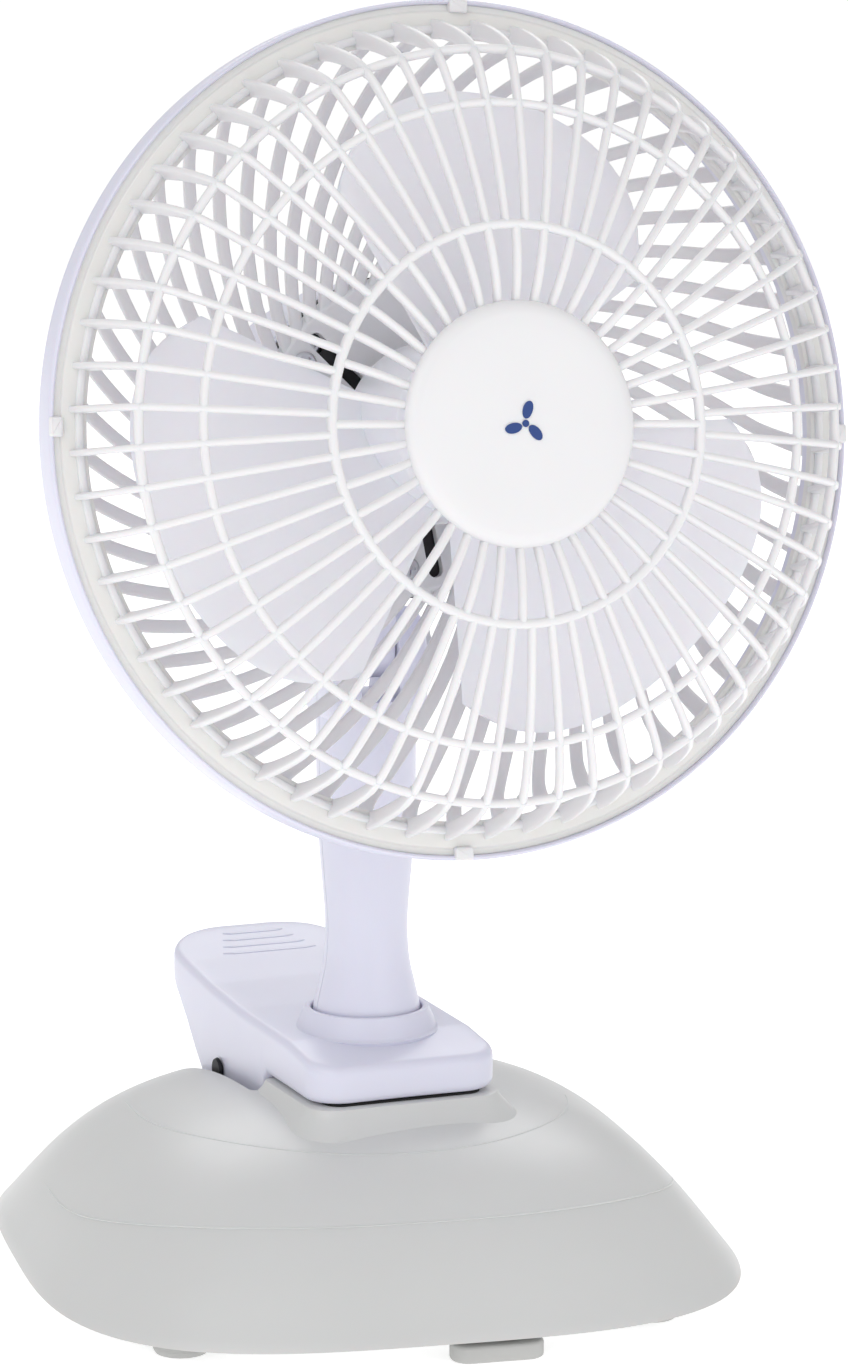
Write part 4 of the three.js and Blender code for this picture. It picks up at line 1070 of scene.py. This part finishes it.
class DESKFAN_OT_controls(bpy.types.Operator):
    """Make the speed knob and the cord gland at the back of the housing"""

    bl_idname = "desk_fan.controls"
    bl_label = "Knob and gland"

    def execute(self, context):
        start = HOUSING["back"] + 0.3
        skirt = softened([(0, start), (9.4, start), (8.7, start + 4), (0, start + 4)], 0.8, 4, False)
        knob = turned("speed_knob_dial", [(r, -h) for r, h in skirt], 96, "Y")
        grip = moved(
            pillow(
                "grip", rounded_rectangle(-1.7, 1.7, -8, 8, 1.5),
                soft_block_profile(start + 3, start + 9, 0.7)
            ),
            ALONG_Y
        )
        shape_with(knob, "UNION", grip)
        flute = moved(pillow("flute", circle(0.8, 16, 9.6, 0), [(0, start - 1), (0, start + 3)]), ALONG_Y)
        shape_with(knob, "DIFFERENCE", around(flute, 24, 0.0, "guard_white"))
        moved(knob, Matrix.Translation((0, 0, SWITCH_Z)))
        settle(knob, HEAD, "speed_knob", "guard_white", ["speed_knob"], sharp=35)
        mark_outline = rounded_rectangle(-0.45, 0.45, -7.4, -3.4, 0.4, 3)
        mark = moved(pillow("speed_knob_mark", mark_outline, [(0, start + 8.9), (0, start + 9.1)]), ALONG_Y)
        moved(mark, Matrix.Translation((0, 0, SWITCH_Z)))
        settle(mark, HEAD, "speed_knob", "guard_white", material=finish("navy"))

        marks = []
        for number, angle in enumerate((90, 60, 30)):
            for dot in range(number + 1):
                place = radians(angle + 5 * (dot - number / 2))
                outline = circle(0.55, 16, 13 * cos(place), -(SWITCH_Z + 13 * sin(place)))
                marks.append(moved(pillow("dot", outline, [(0, start - 0.5), (0, start - 0.15)]), ALONG_Y))
        settle(merged("speed_setting_dots", *marks), HEAD, "head", "guard_white", material=finish("navy"))

        b = HOUSING["back"]
        profile = softened(
            [
                (2.1, -b + 4), (4, -b + 4), (4, -b - 0.3), (5, -b - 0.3), (5, -b - 2.7), (4.2, -b - 4),
                (2.1, -b - 4)
            ],
            0.4, 3
        )
        gland = moved(turned("cord_exit_gland", profile, 48, "Y"), Matrix.Translation((0, 0, GLAND_Z)))
        settle(gland, HEAD, "head", "black_plastic", ["cord_gland"])
        return {"FINISHED"}


# ---- guards -------------------------------------------------------------------------------------

RING_OUTER = (80.0, 23.0)
RING_MIDDLE = (68.0, 29.0)
RING_INNER = (42.0, 35.0)
CAP = {"radius": 26.0, "front": 38.5}
GUARD_BACK = 26
GUARD_SCREWS = {"radius": 29.5, "first": radians(25)}
MOUNT_RADIUS = 34
SWIRL = 0.75
FIRST_SPOKE = radians(6.6)
TAB_ANGLE = radians(87)


def ring_bar(name, radius, ahead, width, depth, power=2.4, sides=192):
    """A ring about the fan axis with a rounded section."""
    profile = [(radius + a, ahead + b) for a, b in section(width, depth, power, 12)]
    return turned(name, profile, sides, "Y")


def radial_bar(name, line, widths, depths, power=2.6, steps=10):
    """A bar in the upright plane through the fan axis, along [radius, ahead] points."""
    path, normals = [], []
    for i, (r, ahead) in enumerate(line):
        before, after = line[max(0, i - 1)], line[min(len(line) - 1, i + 1)]
        size = hypot(after[0] - before[0], after[1] - before[1])
        out = ((before[1] - after[1]) / size, (after[0] - before[0]) / size)
        path.append((r, -ahead, 0))
        normals.append((out[0], -out[1], 0))
    return swept(name, path, normals, widths, depths, power, steps)


class DESKFAN_OT_rear_guard(bpy.types.Operator):
    """Make the rear guard: rim, swirled ribs, slotted mounting plate and its screws"""

    bl_idname = "desk_fan.rear_guard"
    bl_label = "Rear guard"

    def execute(self, context):
        settings = context.scene.desk_fan_guard
        rim_radius = settings.rim_radius / MM
        rim_profile = softened([
            (rim_radius - 6.5, -6), (rim_radius - 2, -6), (rim_radius, -4.5), (rim_radius, 2.6), (
                rim_radius - 0.5, 3.4
            ),
            (rim_radius - 1.1, 3.0), (rim_radius - 1.1, 0.1), (rim_radius - 6.5, 0.1),
        ], 0.7, 4)
        rim = turned("rear_guard_rim", rim_profile, 256, "Y")
        settle(rim, HEAD, "head", "guard_white", ["rear_guard"], material=finish("clip_white"))

        line = through([
            (rim_radius - 3.5, -2.5), (87.4, -8), (84.2, -15.5), (80.4, -19.8), (74, -22.6), (64, -25),
            (48, -27), (MOUNT_RADIUS - 2, -27.2),
        ], 26)
        path, normals = [], []
        for i, (r, ahead) in enumerate(line):
            before, after = line[max(0, i - 1)], line[min(len(line) - 1, i + 1)]
            size = hypot(after[0] - before[0], after[1] - before[1])
            out_r, out_ahead = (before[1] - after[1]) / size, (after[0] - before[0]) / size
            angle = SWIRL * log(rim_radius / r)
            path.append((r * cos(angle), -ahead, r * sin(angle)))
            normals.append((out_r * cos(angle), -out_ahead, out_r * sin(angle)))
        count = len(path)
        rib = swept(
            "rear_guard_ribs", path, normals, [4.8 - 1.8 * min(1.0, k / 10) for k in range(count)],
            [1.7] * count, 3.2, 12
        )
        settle(around(rib, settings.back_ribs, 0.0, "guard_white"), HEAD, "head", "guard_white", sharp=50)

        b = GUARD_BACK
        plate_profile = softened(
            [(8, -b - 2.1), (8, -b), (MOUNT_RADIUS, -b), (MOUNT_RADIUS + 2, -b - 2.1)], 0.6, 4
        )
        plate = turned("rear_guard_mount", plate_profile, 128, "Y")
        slot = moved(
            pillow("slot", rounded_rectangle(13, 32, -1.75, 1.75, 1.6, 4), [(0, b - 3), (0, b + 5)]), ALONG_Y
        )
        shape_with(plate, "DIFFERENCE", around(slot, 5, radians(134), "guard_white"))
        settle(plate, HEAD, "head", "guard_white", sharp=40)

        one = moved(
            screw("guard_mount_screws", 2.6, 1.4, 1.15, 4.6),
            Matrix.Translation((GUARD_SCREWS["radius"], b - 1.7, 0)) @ ALONG_Y
        )
        settle(
            around(one, 3, GUARD_SCREWS["first"], "steel"), HEAD, "head", "steel",
            [f"guard_screw_{k}" for k in (1, 2, 3)]
        )
        return {"FINISHED"}


class DESKFAN_OT_front_guard(bpy.types.Operator):
    """Make the front guard: flange, louvred side ribs, rings, spokes and retaining tabs"""

    bl_idname = "desk_fan.front_guard"
    bl_label = "Front guard"

    def execute(self, context):
        settings = context.scene.desk_fan_guard
        wide = settings.spoke_width / MM
        rim_radius = settings.rim_radius / MM
        flange_profile = softened([
            (84.5, 0.4), (84.5, 2.6), (86.6, 2.9), (90.2, 2.7), (90.5, 2.1), (rim_radius - 1.05, 2.1), (
                rim_radius - 1.05, 0.4
            ),
        ], 0.4, 3)
        flange = turned("front_guard_flange", flange_profile, 256, "Y")
        settle(flange, HEAD, "head", "guard_white", ["front_guard"], material=finish("flange_white"))

        rings = [
            ring_bar("ring", *RING_OUTER, 2.0, 2.5), ring_bar("ring", *RING_MIDDLE, 1.9, 2.3),
            ring_bar("ring", RING_INNER[0], RING_INNER[1], 2.1, 2.7, 2.6),
            ring_bar("ring", 86.4, 3.0, 1.8, 1.6, 2.6),
            ring_bar("ring", CAP["radius"] - 4.2, 33.4, 3, 3, 4),
        ]
        settle(merged("front_guard_rings", *rings), HEAD, "head", "guard_white", sharp=50)

        side = through([(86.8, 1.6), (85.6, 8), (83.6, 15), (81.4, 20.6), (79.4, 23.6)], 14)
        rib = radial_bar(
            "front_guard_side_ribs", side, [1.5] * 14, [4.2 - 1.5 * (k / 13) for k in range(14)], 5.0, 12
        )
        settle(
            around(rib, settings.outer_spokes, FIRST_SPOKE, "guard_white"), HEAD, "head", "guard_white",
            sharp=45
        )

        dome = through(
            [(80.6, 22.0), (78.6, 24.4), (74.5, 26.6), (68, 29), (60, 31.4), (51, 33.5), (42, 35)], 22
        )
        spoke = radial_bar("front_guard_outer_spokes", dome, [wide] * 22, [2.5] * 22, 2.6, 10)
        settle(
            around(spoke, settings.outer_spokes, FIRST_SPOKE, "guard_white"), HEAD, "head", "guard_white",
            sharp=50
        )

        inner = through([(42, 35), (37, 35.5), (31, 35.3), (26.5, 34.4), (21.5, 33.4)], 16)
        spoke = radial_bar("front_guard_inner_spokes", inner, [wide + 0.1] * 16, [2.5] * 16, 2.6, 10)
        settle(
            around(spoke, settings.inner_spokes, FIRST_SPOKE, "guard_white"), HEAD, "head", "guard_white",
            sharp=50
        )

        tab_outline = softened(
            [(90.0, -2.1), (rim_radius - 0.1, -2.1), (rim_radius - 0.1, 2.1), (90.0, 2.1)], 0.6, 3
        )
        tab = moved(pillow("guard_retaining_tabs", tab_outline, soft_block_profile(-3.9, -1.2, 0.5)), ALONG_Y)
        settle(around(tab, 4, TAB_ANGLE, "guard_white"), HEAD, "head", "guard_white")
        return {"FINISHED"}


class DESKFAN_OT_hub_cap(bpy.types.Operator):
    """Make the hub cap with its small three-blade icon"""

    bl_idname = "desk_fan.hub_cap"
    bl_label = "Hub cap"

    def execute(self, context):
        r, front = CAP["radius"], CAP["front"]
        profile = [
            (0, 34.8), (r - 1.5, 34.8), (r, 35.3), (r, 35.9), (r - 0.5, 36.8), (r - 1.5, 37.5), (r - 3, 37.9)
        ]
        profile += [(r * (1 - k / 12), front - 0.75 * (1 - k / 12) ** 2) for k in range(3, 13)]
        cap = turned("hub_cap_disc", profile, 160, "Y")
        settle(cap, HEAD, "head", "guard_white", ["hub_cap"], sharp=50)
        petal = []
        for k in range(24):
            t = TAU * k / 24
            along = 3.0 + 2.0 * cos(t)
            petal.append((along * cos(0.35 * along / 5), 1.15 * sin(t) + along * 0.22))
        blade = moved(pillow("hub_icon", petal, [(0, -38.75), (0, -38.2)]), ALONG_Y)
        icon = around(blade, 3, radians(90), "navy")
        hub = turned("dot", [(0, 38.2), (0.75, 38.2), (0.75, 38.75), (0, 38.75)], 32, "Y")
        icon = merged("hub_cap_icon", icon, hub)
        settle(icon, HEAD, "head", "guard_white", material=finish("navy"))
        return {"FINISHED"}


# ---- impeller -----------------------------------------------------------------------------------

HUB_RADIUS = 20
BLADE_TURN = radians(76)
BLADE_THICKNESS = 1.6


def blade_draft(settings):
    """One broad twisted blade with rounded edges, its leading edge standing forward."""
    out, about = 22, 34
    tip, root = settings.tip_radius / MM, HUB_RADIUS - 1.2
    verts = []
    for face in (-1, 1):
        for i in range(out + 1):
            u = i / out
            radius = root + (tip - root) * u
            rise = 12 + 3 * u
            for j in range(about + 1):
                v = -cos(pi * j / about) * 0.35 + (2 * j / about - 1) * 0.65
                trim = 1 - 0.2 * u**5 * v**4
                angle = settings.half_span * v
                edge = min(1.0, sqrt(max(0.0, 1 - abs(v) ** 24))) * min(1.0, sqrt(max(0.0, 1 - u**30)))
                ahead = 1 + rise * v * (1 - 0.18 * v * v) + face * (BLADE_THICKNESS / 2) * edge
                verts.append((radius * trim * cos(angle), -ahead, radius * trim * sin(angle)))
    row, layer = about + 1, (about + 1) * (out + 1)
    faces = []
    for i in range(out):
        for j in range(about):
            a = i * row + j
            faces.append((a, a + 1, a + row + 1, a + row))
            faces.append((layer + a, layer + a + row, layer + a + row + 1, layer + a + 1))
    faces += [(j, layer + j, layer + j + 1, j + 1) for j in range(about)]
    return draft("impeller_blades", verts, faces)


class DESKFAN_OT_impeller(bpy.types.Operator):
    """Make the impeller: hub, blades and centre screw"""

    bl_idname = "desk_fan.impeller"
    bl_label = "Impeller"

    def execute(self, context):
        settings = context.scene.desk_fan_blade
        hub_line = softened([
            (3.2, 19.4), (3.2, 22), (11, 22), (17, 20.5), (HUB_RADIUS, 16), (HUB_RADIUS, -15), (
                HUB_RADIUS - 2, -15
            ),
            (HUB_RADIUS - 2, 14), (15.5, 18), (5.5, 18.6), (5.5, -6), (2.8, -6), (2.8, 19.4),
        ], 0.9, 4)
        hub = turned("impeller_hub", hub_line, 128, "Y")
        settle(hub, HEAD, "rotor", "blade_white", ["impeller"], sharp=40)
        blades = around(blade_draft(settings), settings.blade_count, BLADE_TURN, "blade_white")
        settle(blades, HEAD, "rotor", "blade_white", sharp=50)
        nose = moved(
            screw("impeller_hub_screw", 2.6, 1.6, 1.2, 5.4), Matrix.Translation((0, -22.6, 0)) @ ALONG_Y
        )
        settle(nose, HEAD, "rotor", "steel", ["impeller_screw"])
        shaft = turned(
            "impeller_shaft", softened([(0, 14.5), (2.5, 14.5), (2.5, -69.5), (0, -69.5)], 0.4, 3, False), 40,
            "Y"
        )
        settle(shaft, HEAD, "rotor", "steel", ["motor_shaft"])
        return {"FINISHED"}


# ---- stage --------------------------------------------------------------------------------------


def softbox(name, spot, aim, size, power, tint=(1, 1, 1)):
    light = bpy.data.lights.new(name, "AREA")
    light.shape = "RECTANGLE"
    light.size, light.size_y = size
    light.energy = power
    light.color = tint
    made = bpy.data.objects.new(name, light)
    made.location = spot
    made.rotation_euler = (Vector(aim) - Vector(spot)).to_track_quat("-Z", "Y").to_euler()
    bpy.context.scene.collection.objects.link(made)


class DESKFAN_OT_stage(bpy.types.Operator):
    """Set the floor, the soft studio light and the camera"""

    bl_idname = "desk_fan.stage"
    bl_label = "Stage"

    def execute(self, context):
        scene = context.scene
        scene.view_settings.view_transform = "Standard"
        mesh = bpy.data.meshes.new("floor")
        mesh.from_pydata([(-20, -20, 0), (20, -20, 0), (20, 20, 0), (-20, 20, 0)], [], [(0, 1, 2, 3)])
        floor = bpy.data.objects.new("floor", mesh)
        scene.collection.objects.link(floor)
        pale = bpy.data.materials.new("pale floor")
        pale.use_nodes = True
        shader = pale.node_tree.nodes["Principled BSDF"]
        shader.inputs["Base Color"].default_value = (0.93, 0.93, 0.93, 1)
        shader.inputs["Roughness"].default_value = 0.9
        shader.inputs["Emission Color"].default_value = (1, 1, 1, 1)
        shader.inputs["Emission Strength"].default_value = 0.5
        floor.data.materials.append(pale)

        world = bpy.data.worlds.new("studio")
        scene.world = world
        world.use_nodes = True
        world.node_tree.nodes["Background"].inputs["Color"].default_value = (1, 1, 1, 1)
        world.node_tree.nodes["Background"].inputs["Strength"].default_value = 0.6
        softbox("key softbox", (-1.1, -1.3, 1.5), (0, 0, 0.15), (1.8, 1.8), 11)
        softbox("front fill", (0.9, -1.9, 0.7), (0, 0, 0.15), (1.4, 1.4), 4)
        softbox("back light", (0.4, 1.6, 1.4), (0, 0, 0.2), (1.6, 1.0), 10)

        camera = bpy.data.cameras.new("camera")
        camera.sensor_fit = "VERTICAL"
        camera.sensor_height = 36
        camera.lens = 126.3
        camera.clip_end = 100
        view = bpy.data.objects.new("camera", camera)
        view.location = (-0.2565, -1.0524, 0.3240)
        turn, dip = radians(-14), radians(9.7)
        facing = Vector((-sin(turn) * cos(dip), cos(turn) * cos(dip), -sin(dip)))
        view.rotation_euler = facing.to_track_quat("-Z", "Y").to_euler()
        scene.collection.objects.link(view)
        scene.camera = view
        return {"FINISHED"}


# ---- add-on -------------------------------------------------------------------------------------

STEPS = (
    "stage", "base", "feet", "clip", "neck", "motor", "controls", "rear_guard", "front_guard", "hub_cap",
    "impeller"
)
SETTINGS = {
    "desk_fan_base": DeskFanBaseSettings,
    "desk_fan_clip": DeskFanClipSettings,
    "desk_fan_guard": DeskFanGuardSettings,
    "desk_fan_blade": DeskFanBladeSettings,
}


class DESKFAN_PT_panel(bpy.types.Panel):
    """Sizes, colours and build steps of the desk fan"""

    bl_idname = "DESKFAN_PT_panel"
    bl_label = "Desk Fan"
    bl_space_type = "VIEW_3D"
    bl_region_type = "UI"
    bl_category = "Desk Fan"

    def draw(self, context):
        for name, group in SETTINGS.items():
            box = self.layout.box()
            for prop in group.__annotations__:
                box.prop(getattr(context.scene, name), prop)
        for step in STEPS:
            self.layout.operator(f"desk_fan.{step}")


CLASSES = (
    *SETTINGS.values(), DESKFAN_OT_stage, DESKFAN_OT_base, DESKFAN_OT_feet, DESKFAN_OT_clip, DESKFAN_OT_neck,
    DESKFAN_OT_motor, DESKFAN_OT_controls, DESKFAN_OT_rear_guard, DESKFAN_OT_front_guard, DESKFAN_OT_hub_cap,
    DESKFAN_OT_impeller, DESKFAN_PT_panel,
)


def register():
    for cls in CLASSES:
        bpy.utils.register_class(cls)
    for name, group in SETTINGS.items():
        setattr(bpy.types.Scene, name, PointerProperty(type=group))


def unregister():
    for name in SETTINGS:
        delattr(bpy.types.Scene, name)
    for cls in reversed(CLASSES):
        bpy.utils.unregister_class(cls)


def main():
    register()
    for step in STEPS:
        if getattr(bpy.ops.desk_fan, step)() != {"FINISHED"}:
            raise RuntimeError(f"the {step} step did not finish")


if __name__ == "__main__":
    main()
